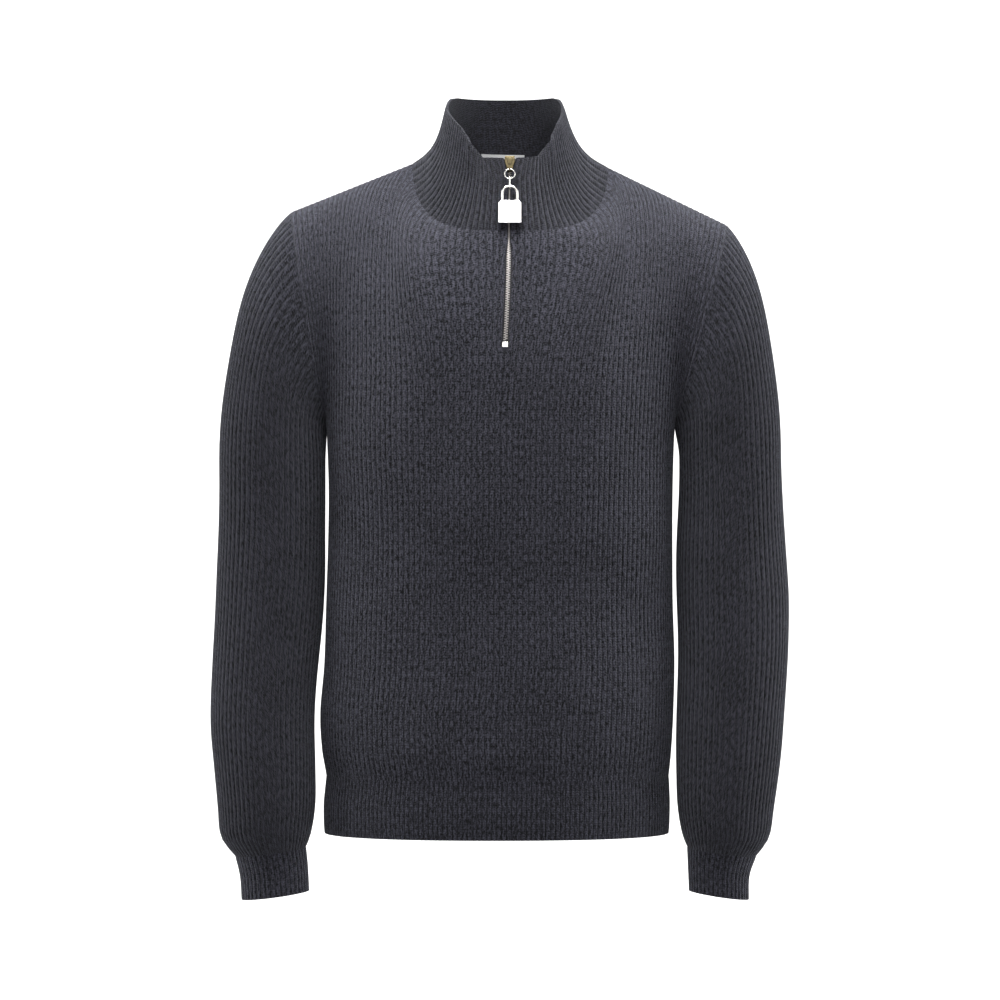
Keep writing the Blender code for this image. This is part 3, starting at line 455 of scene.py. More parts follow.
front, back = panel(-1), panel(1)
zip_run = lengths(front[:, half])
STOP_ROW = int(np.argmin(np.abs(zip_run[-1] - zip_run - ZIP_LENGTH)))
front = np.insert(front, half, front[:, half], axis=1)
opening = np.interp(zip_run[-1] - zip_run, (0, 0.012, 0.030, ZIP_LENGTH, ZIP_LENGTH + 0.001), (
    SLIT_AT_NECK, SLIT_AT_NECK, SLIT_AT_STOP, SLIT_AT_STOP, 0.0001))
offset = front[:, :, 0] - front[:, half, 0][:, None]
aside = opening[:, None] * np.clip(1 - np.abs(offset) / SLIT_REACH, 0, 1)
side_of = np.where(np.arange(front.shape[1]) <= half, -1, 1)
front[:, :, 0] += side_of * aside
front_out, back_out = directions(front, False), directions(back, False)
for edge in (0, -1):
    shared = front_out[:, edge] + back_out[:, edge]
    shared /= np.linalg.norm(shared, axis=1, keepdims=True)
    front_out[:, edge] = back_out[:, edge] = shared

front_ribs = np.insert(np.linspace(0, PANEL_RIBS, PANEL_COLUMNS + 1), half, PANEL_RIBS / 2)
back_ribs = np.linspace(0, PANEL_RIBS, PANEL_COLUMNS + 1)


def near_edges(grid):
    """Less rib height in the last few millimetres before the seams, where linking pulls in."""
    rows, wide = grid.shape[:2]
    up = np.minimum(np.arange(rows), rows - 1 - np.arange(rows))[:, None]
    side = np.minimum(np.arange(wide), wide - 1 - np.arange(wide))[None, :]
    return (0.35 + 0.65 * eased(-0.5, 1.5, up)) * (0.3 + 0.7 * eased(0, 3, side))


front_piece = knit("front_panel", settled(front, front_out), front_out, front_ribs, PANEL_PITCH,
                   RIB_HIGH, (wool_body, purl_side), slit=(half, STOP_ROW), flat=near_edges(front))
back_piece = knit("back_panel", settled(back, back_out), back_out, back_ribs, PANEL_PITCH,
                  RIB_HIGH, (wool_body, purl_side), flat=near_edges(back))
for piece, node in ((front_piece, "front"), (back_piece, "back")):
    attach(piece, "garment")
    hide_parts(node)

# ---- Sleeves --------------------------------------------------------------------------------
# Two set-in sleeves of the same rib knit, each one tube of 58 ribs from the armhole to the
# cuff seam. They hang a little forward and narrow below the elbow, with a soft blouse at the cuff.
SLEEVE_RIBS = 58
SLEEVE_ROUND = 1.04
SLEEVE_ROWS = 76
CAP_ROWS = 26
RIGHT_CAP, LEFT_CAP = 0.047, 0.038
RIGHT_SLEEVE = np.array((
    # height, outer, inner, drop, forward
    (-0.300, -0.2915, -0.1832, 0.000, 0.000),
    (-0.352, -0.2932, -0.1818, 0.000, -0.003),
    (-0.404, -0.2950, -0.1832, 0.000, -0.004),
    (-0.450, -0.2970, -0.1862, 0.000, -0.002),
    (-0.507, -0.2999, -0.1898, 0.000, 0.004),
    (-0.568, -0.3008, -0.1932, 0.000, 0.011),
    (-0.615, -0.2975, -0.1936, 0.000, 0.016),
    (-0.656, -0.2936, -0.1938, 0.003, 0.020),
    (-0.684, -0.2895, -0.1968, 0.006, 0.022),
    (-0.703, -0.2748, -0.2020, 0.009, 0.023),
))
LEFT_SLEEVE = np.array((
    # height, outer, inner, drop, forward
    (-0.300, 0.2863, 0.1800, 0.000, 0.000),
    (-0.352, 0.2898, 0.1803, 0.000, -0.003),
    (-0.404, 0.2925, 0.1800, 0.000, -0.004),
    (-0.450, 0.2945, 0.1795, 0.000, -0.002),
    (-0.507, 0.2935, 0.1795, 0.000, 0.004),
    (-0.568, 0.2884, 0.1795, 0.000, 0.011),
    (-0.615, 0.2840, 0.1795, 0.000, 0.016),
    (-0.656, 0.2786, 0.1800, 0.003, 0.020),
    (-0.684, 0.2735, 0.1835, 0.006, 0.022),
    (-0.703, 0.2600, 0.1890, 0.009, 0.023),
))


def tube_ring(row, columns):
    """A section of a sleeve or cuff, from its inner edge round by the front."""
    height, outer, inner, drop, forward = row
    side = math.copysign(1, outer)
    half_wide = abs(outer - inner) / 2 - CREST
    turn = np.linspace(0, 2 * math.pi, columns, endpoint=False)
    inward = np.cos(turn)
    return np.stack([
        (outer + inner) / 2 - side * half_wide * inward,
        -forward - half_wide * SLEEVE_ROUND * np.sin(turn),
        height + drop / 2 * inward,
    ], axis=1)


def sleeve(rows, edge):
    """Rows of a sleeve from the armhole, whose line is a panel's edge column, to the cuff."""
    columns = SLEEVE_RIBS * STITCHES
    side = math.copysign(1, rows[0][1])
    up = np.linspace(0, 1, columns // 2, endpoint=False)
    armhole_rows = slice(TORSO_ROWS - 1, None)
    front_edge, back_edge = front[armhole_rows, edge], back[armhole_rows, edge]
    rise, fall = (np.interp(s, np.linspace(0, 1, 8), armhole_knots) for s in (up, 1 - up))
    armhole = np.concatenate([
        np.stack([np.interp(rise, yoke_alongs, front_edge[:, k]) for k in range(3)], axis=1),
        np.stack([np.interp(fall, yoke_alongs, back_edge[:, k]) for k in range(3)], axis=1),
    ])
    ring = tube_ring(rows[0], columns)
    turn = np.linspace(0, 2 * math.pi, columns, endpoint=False)
    outer, ahead = ((1 - np.cos(turn)) / 2)[:, None], np.sin(turn)[:, None]
    cap = RIGHT_CAP if side < 0 else LEFT_CAP
    leave = (
        outer * np.array([cap * side, 0, -0.045]) + np.abs(ahead) * np.array([0.012 * side, 0, -0.010])
        + ahead * np.array([0, -0.012, 0]) + (1 - outer) * np.array([0.0004 * side, 0, -0.010])
    )
    arrive = outer * np.array([-0.004 * side, 0, 0.105]) + np.array([0, 0, 0.012])
    grid = [bezier(armhole, armhole + leave, ring + arrive, ring, a) for a in np.linspace(0, 1, CAP_ROWS)]
    heights = np.linspace(rows[0][0], rows[-1][0], SLEEVE_ROWS - CAP_ROWS)
    places = np.interp(-heights, -rows[:, 0], np.arange(len(rows)))
    grid += [tube_ring(row, columns) for row in through(rows, places)[1:]]
    return np.array(grid)


stop_share = float(np.interp(
    zip_run[-1] - ZIP_LENGTH, zip_run[TORSO_ROWS - 1:], yoke_alongs))
armhole_knots = np.array([0, stop_share / 2, stop_share, *np.linspace(stop_share, 1, 6)[1:]])
# The sleeves are knitted from the same yarn as the body; their wool has darker flecks as painted shade, where
# less light reaches them.
wool_sleeve = wool_rib("wool_sleeve_rib", PANEL_PITCH, "#08080a", "#35353e", 0.50)
sleeve_ribs = np.linspace(0, SLEEVE_RIBS, SLEEVE_RIBS * STITCHES + 1)
for name, node, rows, edge in (
    ("right_sleeve", "sleeve_right", RIGHT_SLEEVE, 0), ("left_sleeve", "sleeve_left", LEFT_SLEEVE, -1),
):
    grid = sleeve(rows, edge)
    out = directions(grid, True)
    level = np.arange(len(grid))[:, None] + 0 * grid[:, :, 0]
    still = eased(2, 22, level) * eased(0, 8, len(grid) - 1 - level)
    grid = soft_folds(grid, out, 0.0011, still)
    piece = knit(name, grid, out, sleeve_ribs, PANEL_PITCH, RIB_HIGH, (wool_sleeve, purl_side), closed=True,
                 flat=0.35 + 0.65 * eased(-0.5, 1.5, np.minimum(level, len(grid) - 1 - level)))
    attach(piece, "garment")
    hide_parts(node)

# ---- Collar ---------------------------------------------------------------------------------
# A funnel collar in a closer rib, one layer, linked to the neck edge and open in front, where
# the zip holds its two edges. Its ribs fan out from the rim to the neck seam.
COLLAR_RIBS = 96
COLLAR_PITCH = 0.0047
COLLAR_ROWS = 22
RIM_MIDDLE = 0.0020
RIM_HALF_WIDTH = 0.0600
RIM_FRONT, RIM_BACK = 0.0750, 0.0710
ZIP_TURN = 4.9
SLIT_AT_RIM = 0.0066
RIM = np.array((
    # angle from the centre front, height on the right side, height on the left side
    (0, 0.005, 0.005),
    (22, 0.006, 0.006),
    (35, 0.022, 0.008),
    (48, 0.038, 0.024),
    (65, 0.050, 0.044),
    (85, 0.0605, 0.0585),
    (98, 0.0685, 0.0675),
    (110, 0.0740, 0.0735),
    (125, 0.0765, 0.0765),
    (180, 0.0770, 0.0770),
))


def rim_points(angles):
    turn = np.radians(angles)
    deep = np.where(np.cos(turn) > 0, RIM_FRONT, RIM_BACK)
    high = np.where(
        angles > 0, np.interp(np.abs(angles), RIM[:, 0], RIM[:, 2]),
        np.interp(np.abs(angles), RIM[:, 0], RIM[:, 1]))
    return np.stack([RIM_MIDDLE + RIM_HALF_WIDTH * np.sin(turn), -deep * np.cos(turn), high], axis=1)


def collar_rows(seam, alongs):
    """Rows from the neck seam to the rim. The front edges part only near the rim."""
    rows = []
    for along in alongs:
        apart = SLIT_AT_NECK + (SLIT_AT_RIM - SLIT_AT_NECK) * max(0, (along - 0.72) / 0.28)
        edge = math.degrees(apart / RIM_HALF_WIDTH)
        angles = np.concatenate([
            np.linspace(ZIP_TURN + edge, 180, 120), np.linspace(-180, ZIP_TURN - edge, 120)[1:]])
        rim = spaced(rim_points(angles), np.linspace(0, 1, len(seam)))
        rise = rim - seam
        level, up = rise * np.array([1, 1, 0]), rise * np.array([0, 0, 1])
        flare = np.abs(np.sin(np.linspace(0, 2 * math.pi, len(seam))))[:, None]
        first = seam + level * (0.33 + 0.32 * flare) + up * (0.33 - 0.13 * flare)
        second = rim - level * (0.33 - 0.13 * flare) - up * (0.33 + 0.17 * flare)
        rows.append(bezier(seam, first, second, rim, along))
    return np.array(rows)


near, far = round((1 - NECK_SHARE) * half), round((1 + NECK_SHARE) * half)
neck = np.concatenate([front[-1, half + 1: far + 2], back[-1, near:far][::-1], front[-1, near + 1: half + 1]])
neck_shares = np.linspace(0, 1, COLLAR_RIBS * STITCHES + 1)
seam = np.stack([np.interp(neck_shares, np.linspace(0, 1, len(neck)), neck[:, k]) for k in range(3)], axis=1)
collar = collar_rows(seam, np.linspace(0, 1, COLLAR_ROWS))
collar_out = directions(collar, False)
round_at = np.degrees(np.arctan2(collar[-1, :, 0] - RIM_MIDDLE, -collar[-1, :, 1]))
near_rim = eased(0.60, 1.0, np.linspace(0, 1, COLLAR_ROWS))[:, None]
for angle, reach, high in ((-29, 3.5, 0.0034), (-21, 4.0, -0.0014), (43, 3.5, 0.0038), (34, 4.5, -0.0018)):
    # the folded edge puckers a little on each side of the zip
    pucker = high * np.exp(-((round_at - angle) / reach) ** 2)[None, :] * near_rim
    collar = collar + collar_out * pucker[:, :, None]
collar_out = directions(collar, False)
# The collar's wool has darker flecks than the body's, which darken it as painted shade.
wool_collar = wool_rib("wool_collar_rib", COLLAR_PITCH, "#08080b", "#2f2f37", 0.10, 0.0024)
collar_ribs = np.linspace(0, COLLAR_RIBS, COLLAR_RIBS * STITCHES + 1)
collar_piece = knit("collar_band", collar, collar_out, collar_ribs, COLLAR_PITCH, 0.0013,
                    (wool_collar, purl_side), flat=near_edges(collar))
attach(collar_piece, "garment")
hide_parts("collar")

# ---- Hem bands and cuffs --------------------------------------------------------------------
# Closer rib bands knitted on at the lower edges. They draw the cloth in a little and end in a
# plain rolled edge.
HEM_RIBS, HEM_PITCH = 98, 0.0051
CUFF_RIBS, CUFF_PITCH = 42, 0.0051
RIGHT_CUFF = np.array((
    # height, outer, inner, drop, forward
    (-0.703, -0.2748, -0.2020, 0.009, 0.023),
    (-0.723, -0.2700, -0.2000, 0.009, 0.024),
    (-0.7472, -0.2682, -0.1987, 0.009, 0.025),
))
LEFT_CUFF = np.array((
    # height, outer, inner, drop, forward
    (-0.703, 0.2600, 0.1890, 0.009, 0.023),
    (-0.723, 0.2532, 0.1898, 0.009, 0.024),
    (-0.7472, 0.2524, 0.1908, 0.009, 0.025),
))
hem_shares = np.linspace(-1, 1, HEM_RIBS * STITCHES + 1)
wool_trim = wool_rib("wool_band_rib", HEM_PITCH, "#0a0a0d", "#3c3c46", 0.22, 0.0024)
for name, node, facing in (("front_hem_band", "hem_front", -1), ("back_hem_band", "hem_back", 1)):
    grid = np.array([
        torso_section(row, facing, hem_shares) for row in through(TORSO, np.linspace(0, HEM_ROW, 12))])
    piece = knit(name, grid, directions(grid, False), np.linspace(0, HEM_RIBS, len(hem_shares)), HEM_PITCH,
                 0.0010, (wool_trim, purl_side), flat=near_edges(grid))
    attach(piece, "garment")
    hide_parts(node)
cuff_ribs = np.linspace(0, CUFF_RIBS, CUFF_RIBS * STITCHES + 1)
for name, node, rows in (
        ("right_cuff_band", "cuff_right", RIGHT_CUFF), ("left_cuff_band", "cuff_left", LEFT_CUFF)):
    grid = np.array([tube_ring(row, CUFF_RIBS * STITCHES) for row in through(rows, np.linspace(0, 2, 11))])
    piece = knit(name, grid, directions(grid, True), cuff_ribs, CUFF_PITCH,
                 0.0010, (wool_trim, purl_side), closed=True)
    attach(piece, "garment")
    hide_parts(node)

# ---- Zip ------------------------------------------------------------------------------------
# A closed metal zip: two woven tapes sewn behind the knit's front edges, stamped teeth clamped
# on the tapes' corded edges and locked together up the middle, and a stop over the lowest ones.
CHAIN_WIDE, CHAIN_THICK = 0.0060, 0.0020
TAPE_WIDE, TAPE_THICK = 0.0120, 0.0009
ZIP_BEHIND = 0.0027  # from the cloth's plain outside back to the chain's face
TOOTH_PITCH = 0.00125
SLIDER_ROOM = 0.0130  # from the rim down to the first closed teeth
STOP_LONG = 0.0055
CHEST_BEND, COLLAR_BEND = 0.110, 0.044  # radii of the cloth across the zip


def unit(vectors):
    return vectors / np.linalg.norm(vectors, axis=-1, keepdims=True)


edge_pairs = [(collar, collar_out, row, 0, -1) for row in range(COLLAR_ROWS - 1, 0, -1)]
edge_pairs += [(front, front_out, row, half + 1, half) for row in range(len(front) - 1, STOP_ROW - 1, -1)]
zip_line = np.array([(grid[row, a] + grid[row, b]) / 2 for grid, out, row, a, b in edge_pairs])
zip_out = unit(np.array([out[row, a] + out[row, b] for grid, out, row, a, b in edge_pairs]))
zip_across = unit(np.array([grid[row, a] - grid[row, b] for grid, out, row, a, b in edge_pairs]))
zip_places = lengths(zip_line)
ZIP_END = zip_places[-1] - 0.0003


def on_zip(place):
    """The point, outward direction and direction across at a length from the rim."""
    point, out, across = (
        np.array([np.interp(place, zip_places, line[:, k]) for k in range(3)])
        for line in (zip_line, zip_out, zip_across))
    out = unit(out)
    across = unit(across - (across @ out) * out)
    return point, out, across


def woven_tape(name):
    """Dark polyester tape in a fine herringbone weave, with a slight gloss."""
    made, tree, shader = blank_material(name)
    cloth = place(tree, "UVMap", {"uv_map": "cloth"})
    split = tree.nodes.new("ShaderNodeSeparateXYZ")
    tree.links.new(cloth, split.inputs[0])

    def sums(how, a, b=0.0):
        return place(tree, "Math", {"operation": how}, in0=a, in1=b)

    band = sums("PINGPONG", split.outputs[0], 0.0015)
    twill = sums("SINE", sums("MULTIPLY", sums("ADD", band, split.outputs[1]), 2 * math.pi / 0.0007))
    speck = place(tree, "TexNoise", Vector=cloth, Scale=900.0, Detail=2.0)
    colour = place(tree, "MixRGB", Fac=place(tree, "MapRange", in0=twill, in1=-1.0, in2=1.0),
                   Color1=linear("#0e0e11"), Color2=linear("#2b2b30"))
    colour = place(tree, "MixRGB", {"blend_type": "MULTIPLY"}, Fac=0.6, Color1=colour, Color2=speck)
    tree.links.new(colour, shader.inputs["Base Color"])
    shader.inputs["Roughness"].default_value = 0.6
    bump = place(tree, "Bump", Height=twill, Strength=0.5, Distance=0.0002)
    tree.links.new(bump, shader.inputs["Normal"])
    return made


def metal(name, bright, dull, rough, wear, scratch):
    """Plated metal: its colour and roughness wander a little, fine scratches run across it,
    and its colour is darkened in its hollows as painted shade."""
    made, tree, shader = blank_material(name)
    spot = place(tree, "TexCoord").node.outputs["Object"]
    clouds = place(tree, "TexNoise", Vector=spot, Scale=260.0, Detail=3.0, Roughness=0.6)
    lines = place(tree, "Mapping", Vector=spot, Scale=(700.0, 700.0, 9000.0))
    lines = place(tree, "TexNoise", Vector=lines, Scale=1.0, Detail=2.0, Roughness=0.7)
    colour = place(tree, "MixRGB", Fac=clouds, Color1=linear(dull), Color2=linear(bright))
    # Painted shade: the colour is darkened where ambient occlusion finds hollows and narrow gaps.
    hollow = place(tree, "AmbientOcclusion", Distance=0.0012)
    hollow = place(tree, "MapRange", in0=hollow.node.outputs["AO"], in1=0.2, in2=0.95, in3=0.35, in4=1.0)
    colour = place(tree, "MixRGB", {"blend_type": "MULTIPLY"}, Fac=1.0, Color1=colour, Color2=hollow)
    tree.links.new(colour, shader.inputs["Base Color"])
    shader.inputs["Metallic"].default_value = 1.0
    roughness = place(tree, "MapRange", in0=clouds, in1=0.3, in2=0.7, in3=rough, in4=rough + wear)
    tree.links.new(roughness, shader.inputs["Roughness"])
    bump = place(tree, "Bump", Height=lines, Strength=scratch, Distance=0.00004)
    tree.links.new(bump, shader.inputs["Normal"])
    return made


def start_piece(name, size, spot=(0, 0, 0)):
    """A block at its size and place, to be worked on in edit mode."""
    bpy.ops.object.select_all(action="DESELECT")
    bpy.ops.mesh.primitive_cube_add(size=1, location=spot)
    made = bpy.context.object
    made.name = made.data.name = name
    made.scale = size
    bpy.ops.object.transform_apply(location=True, rotation=True, scale=True)
    return made


def pick(made, test):
    """Opens a piece in edit mode with the faces selected whose middle and normal pass a test."""
    bpy.context.view_layer.objects.active = made
    bpy.ops.object.mode_set(mode="EDIT")
    bpy.ops.mesh.select_mode(type="FACE")
    shape = bmesh.from_edit_mesh(made.data)
    for face in shape.faces:
        face.select_set(bool(test(face.calc_center_median(), face.normal)))
    bmesh.update_edit_mesh(made.data)


def soften(made, width, segments=3, angle=35):
    """Leaves edit mode and rounds the piece's edges."""
    bpy.ops.object.mode_set(mode="OBJECT")
    bpy.context.view_layer.objects.active = made
    rounded = made.modifiers.new("rounded", "BEVEL")
    rounded.width, rounded.segments = width, segments
    rounded.limit_method, rounded.angle_limit = "ANGLE", math.radians(angle)
    rounded.harden_normals = False
    bpy.ops.object.modifier_apply(modifier=rounded.name)
    made.data.shade_smooth()
    made.data.set_sharp_from_angle(angle=math.radians(50))


def merge(name, pieces):
    """Joins pieces into the first of them."""
    bpy.ops.object.select_all(action="DESELECT")
    for piece in pieces:
        piece.select_set(True)
    bpy.context.view_layer.objects.active = pieces[0]
    bpy.ops.object.join()
    pieces[0].name = pieces[0].data.name = name
    return pieces[0]


tape_cloth = woven_tape("zip_tape_twill")
zip_steel = metal("zip_nickel", "#a39f9d", "#6e6a68", 0.30, 0.14, 0.35)
tape_shares = np.linspace(0, 1, 13)
tape_lines = np.arange(0.0, ZIP_END, 0.003)
for name, node, side in (("right_zip_tape", "zip_tape_right", -1), ("left_zip_tape", "zip_tape_left", 1)):
    rows = []
    for distance in tape_lines:
        point, out, across = on_zip(distance)
        reach = side * (0.0004 + (CHAIN_WIDE / 2 + TAPE_WIDE - 0.0004) * tape_shares)[:, None]
        bend = CHEST_BEND if point[2] < NECK_FRONT[2] else COLLAR_BEND
        hollow = np.array([0, 1, 0]) * reach**2 / (2 * bend)
        rows.append(point + across * reach + hollow - out * (ZIP_BEHIND + CHAIN_THICK / 2 - TAPE_THICK / 2))
    grid = np.array(rows)
    out = directions(grid, False)
    if out[0, 0] @ zip_out[0] < 0:
        out = -out
    corded = np.exp(-((tape_shares - 0.06) / 0.05) ** 2)[:, None]
    grid = grid + out * 0.0003 * corded
    tape = knit(name, grid, out, tape_shares, TAPE_WIDE + CHAIN_WIDE / 2, 0.0, (tape_cloth,),
                thick=TAPE_THICK)
    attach(tape, "garment")
    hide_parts(node)

tooth = start_piece("tooth", (0.0025, CHAIN_THICK, 0.00095), (0.00085, 0, 0))
pick(tooth, lambda middle, normal: normal.x < -0.9)
bpy.ops.mesh.inset(thickness=0.00018, depth=0.0002)
pick(tooth, lambda middle, normal: abs(normal.z) > 0.9 and middle.x > 0)
bpy.ops.mesh.inset(thickness=0.00022, depth=-0.00010)
pick(tooth, lambda middle, normal: normal.x > 0.9)
bpy.ops.transform.resize(value=(1, 1, 1.6))
soften(tooth, 0.00013, 2)
shape = bmesh.new()
count = int((ZIP_END - STOP_LONG - SLIDER_ROOM - 0.0006) / TOOTH_PITCH)
for k in range(count):
    point, out, across = on_zip(SLIDER_ROOM + (k + 0.5) * TOOTH_PITCH)
    side = 1 if k % 2 else -1
    spot = point - out * (ZIP_BEHIND + CHAIN_THICK / 2)
    along = np.cross(across, out)
    turn = Matrix((across * side, -out, along * side)).transposed().to_4x4()
    turn.translation = Vector(spot)
    copy = tooth.data.copy()
    copy.transform(turn)
    shape.from_mesh(copy)
    bpy.data.meshes.remove(copy)
shape.to_mesh(tooth.data)
shape.free()
tooth.name = tooth.data.name = "zip_teeth"
tooth.data.materials.append(zip_steel)
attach(tooth, "garment")
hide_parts("zip_chain")

stop = start_piece("zip_bottom_stop", (CHAIN_WIDE, CHAIN_THICK, STOP_LONG))
pick(stop, lambda middle, normal: normal.y < -0.9)
bpy.ops.mesh.inset(thickness=0.0011, depth=0)
bpy.ops.transform.translate(value=(0, 0.0004, 0))
soften(stop, 0.0006, 3)
point, out, across = on_zip(ZIP_END - STOP_LONG / 2)
turn = Matrix((across, -out, np.cross(across, -out))).transposed().to_4x4()
turn.translation = Vector(point - out * (ZIP_BEHIND - 0.0010 + CHAIN_THICK / 2))
stop.data.transform(turn)
stop.data.materials.append(metal("stop_nickel", "#e4e3df", "#bdbbb6", 0.22, 0.10, 0.2))
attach(stop, "garment")
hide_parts("zip_stop")

# ---- Slider ---------------------------------------------------------------------------------
# A cast zip slider, wide at its shoulders: two plates round the chain, a rim on the front one,
# and a bail whose eye holds the ring. It is modelled upright and leaned with the collar.
HINGE_OUT, HINGE_DOWN = 0.0038, 0.0146
SLIDER_SIZE = (0.0110, 0.0050, 0.0160)
SLIDER_TAPER = 0.44
SLIDER_PROUD = 0.0016
BAIL_RADIUS, BAIL_WIRE = 0.0021, 0.00062
axes = {joint["name"]: Vector(joint["pos_m"]) for joint in frame["joints"]}
ring_axis, link_axis, lock_axis = (axes[name] for name in ("ring_swing", "link_swing", "padlock_swing"))
slope = math.atan2(ring_axis.y - link_axis.y, ring_axis.z - link_axis.z)
leaned = Matrix.Rotation(-slope, 4, "X")


def hang(made, axis, material, body, slot, *nodes):
    """Leans an upright piece with the collar about a joint's axis and hands it to its body."""
    made.data.transform(Matrix.Translation(axis) @ leaned)
    made.data.materials.clear()
    made.data.materials.append(material)
    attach(made, body)
    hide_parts(*nodes)


def wire(name, points, radius, closed=False, around=6):
    """A bent wire through points, as a mesh with rounded ends."""
    curve = bpy.data.curves.new(name, "CURVE")
    curve.dimensions, curve.bevel_depth, curve.bevel_resolution = "3D", radius, around
    curve.use_fill_caps = not closed
    spline = curve.splines.new("POLY")
    spline.points.add(len(points) - 1)
    for spot, point in zip(spline.points, points):
        spot.co = (*point, 1)
    spline.use_cyclic_u = closed
    made = bpy.data.objects.new(name, curve)
    bpy.context.scene.collection.objects.link(made)
    bpy.ops.object.select_all(action="DESELECT")
    made.select_set(True)
    bpy.context.view_layer.objects.active = made
    bpy.ops.object.convert(target="MESH")
    made = bpy.context.object
    bpy.ops.object.mode_set(mode="EDIT")
    bpy.ops.mesh.select_all(action="SELECT")
    bpy.ops.mesh.remove_doubles(threshold=1e-6)
    bpy.ops.mesh.normals_make_consistent(inside=False)
    bpy.ops.object.mode_set(mode="OBJECT")
    made.data.shade_smooth()
    made.data.set_sharp_from_angle(angle=math.radians(50))
    return made


slider_top = HINGE_DOWN + 0.0012
face_at = HINGE_OUT - SLIDER_PROUD
wide, deep, tall = SLIDER_SIZE
middle_z = slider_top - tall / 2
plates = []
for name, thick, centre in (
        ("slider", 0.0017, face_at + 0.00085), ("back_plate", 0.0015, face_at + deep - 0.00075)):
    plate = start_piece(name, (wide, thick, tall), (0, centre, middle_z))
    pick(plate, lambda middle, normal: normal.z < -0.9)
    bpy.ops.transform.resize(value=(SLIDER_TAPER, 1, 1))
    bpy.ops.mesh.select_all(action="SELECT")
    bpy.ops.mesh.subdivide(number_cuts=3)
    shape = bmesh.from_edit_mesh(plate.data)
    for vert in shape.verts:
        down = (slider_top - vert.co.z) / tall
        vert.co.x *= 1 + 0.16 * math.sin(math.pi * min(1, 1.25 * down)) - 0.10 * (down < 0.01)
    bmesh.update_edit_mesh(plate.data)
    soften(plate, 0.0005, 3, 60)
    plates.append(plate)
post = start_piece("post", (0.0026, deep - 0.002, 0.0050), (0, face_at + deep / 2, slider_top - 0.0027))
pick(post, lambda middle, normal: normal.z < -0.9)
bpy.ops.transform.resize(value=(0.25, 1, 1))
soften(post, 0.0003, 2)
rim = start_piece("rim", (wide * 0.58, 0.0006, tall * 0.50), (0, face_at - 0.00015, slider_top - tall * 0.34))
pick(rim, lambda middle, normal: normal.z < -0.9)
bpy.ops.transform.resize(value=(0.55, 1, 1))
soften(rim, 0.00028, 3)
flanges = []
for side in (-1, 1):
    flange = start_piece("flange", (0.0009, 0.0012, tall * 0.48), (
        side * wide * 0.29, face_at + 0.0018, slider_top - tall * 0.72))
    pick(flange, lambda middle, normal: normal.z < -0.9)
    bpy.ops.transform.translate(value=(-side * wide * 0.09, 0, 0))
    soften(flange, 0.0003, 2)
    flanges.append(flange)
eye = wire("eye", [
    (0, 0.0002 + BAIL_RADIUS * math.sin(t), 0.0003 + BAIL_RADIUS * math.cos(t))
    for t in np.linspace(0, 2 * math.pi, 33)[:-1]], BAIL_WIRE, True, 5)
slider_metal = metal("slider_brass_nickel", "#756a4e", "#2b2821", 0.14, 0.14, 0.25)
slider = merge("zip_slider", [*plates, post, rim, *flanges, eye])
hang(slider, ring_axis, slider_metal, "garment", "zip_metal", "slider")

# ---- Ring, link and padlock -----------------------------------------------------------------
# The pull: a split ring of polished wire in the slider's eye, a long bent link through it, and
# a plain polished padlock charm on its shackle, which hangs in front of the zip.
RING_RADIUS, RING_WIRE = 0.0052, 0.00088
LINK_INSIDE, LINK_WIRE = 0.0036, 0.00075
SHACKLE_RADIUS, SHACKLE_LEG, SHACKLE_WIRE = 0.00745, 0.0089, 0.00130
LOCK = (0.0231, 0.0064, 0.0242)
RUNNING = 0.0003
DROP = (lock_axis - link_axis).length

chrome = metal("polished_wire", "#f2f1ee", "#cfcdc8", 0.07, 0.07, 0.12)
turns = np.linspace(0.12, 4 * math.pi - 0.12, 97)
ring = wire("split_ring", [
    (RING_RADIUS * math.sin(t), 0.00042 * math.tanh((t - 2 * math.pi) * 2.2), RING_RADIUS * (math.cos(t) - 1))
    for t in turns], 0.00046)
hang(ring, ring_axis, chrome, "pull_ring", "pull_metal", "pull_ring")

bend = LINK_INSIDE / 2 + LINK_WIRE
top = RING_WIRE + RUNNING - LINK_INSIDE / 2
bottom = -DROP - 0.0015 - RUNNING + LINK_INSIDE / 2
turns = np.linspace(0, math.pi, 17)
oval = [(0, -bend * math.cos(t), top + bend * math.sin(t)) for t in turns]
oval += [(0, bend * math.cos(t), bottom - bend * math.sin(t)) for t in turns]
link = wire("charm_link", oval, LINK_WIRE, True)
hang(link, link_axis, chrome, "link", "pull_metal", "link")

legs_end = -SHACKLE_RADIUS - SHACKLE_LEG
arch = [(-SHACKLE_RADIUS, 0, legs_end)]
arch += [
    (-SHACKLE_RADIUS * math.cos(t), 0, -SHACKLE_RADIUS + SHACKLE_RADIUS * math.sin(t))
    for t in np.linspace(0, math.pi, 33)]
arch.append((SHACKLE_RADIUS, 0, legs_end))
shackle = wire("padlock_shackle", arch, SHACKLE_WIRE, False, 8)
hang(shackle, lock_axis, chrome, "padlock", "pull_metal", "shackle")

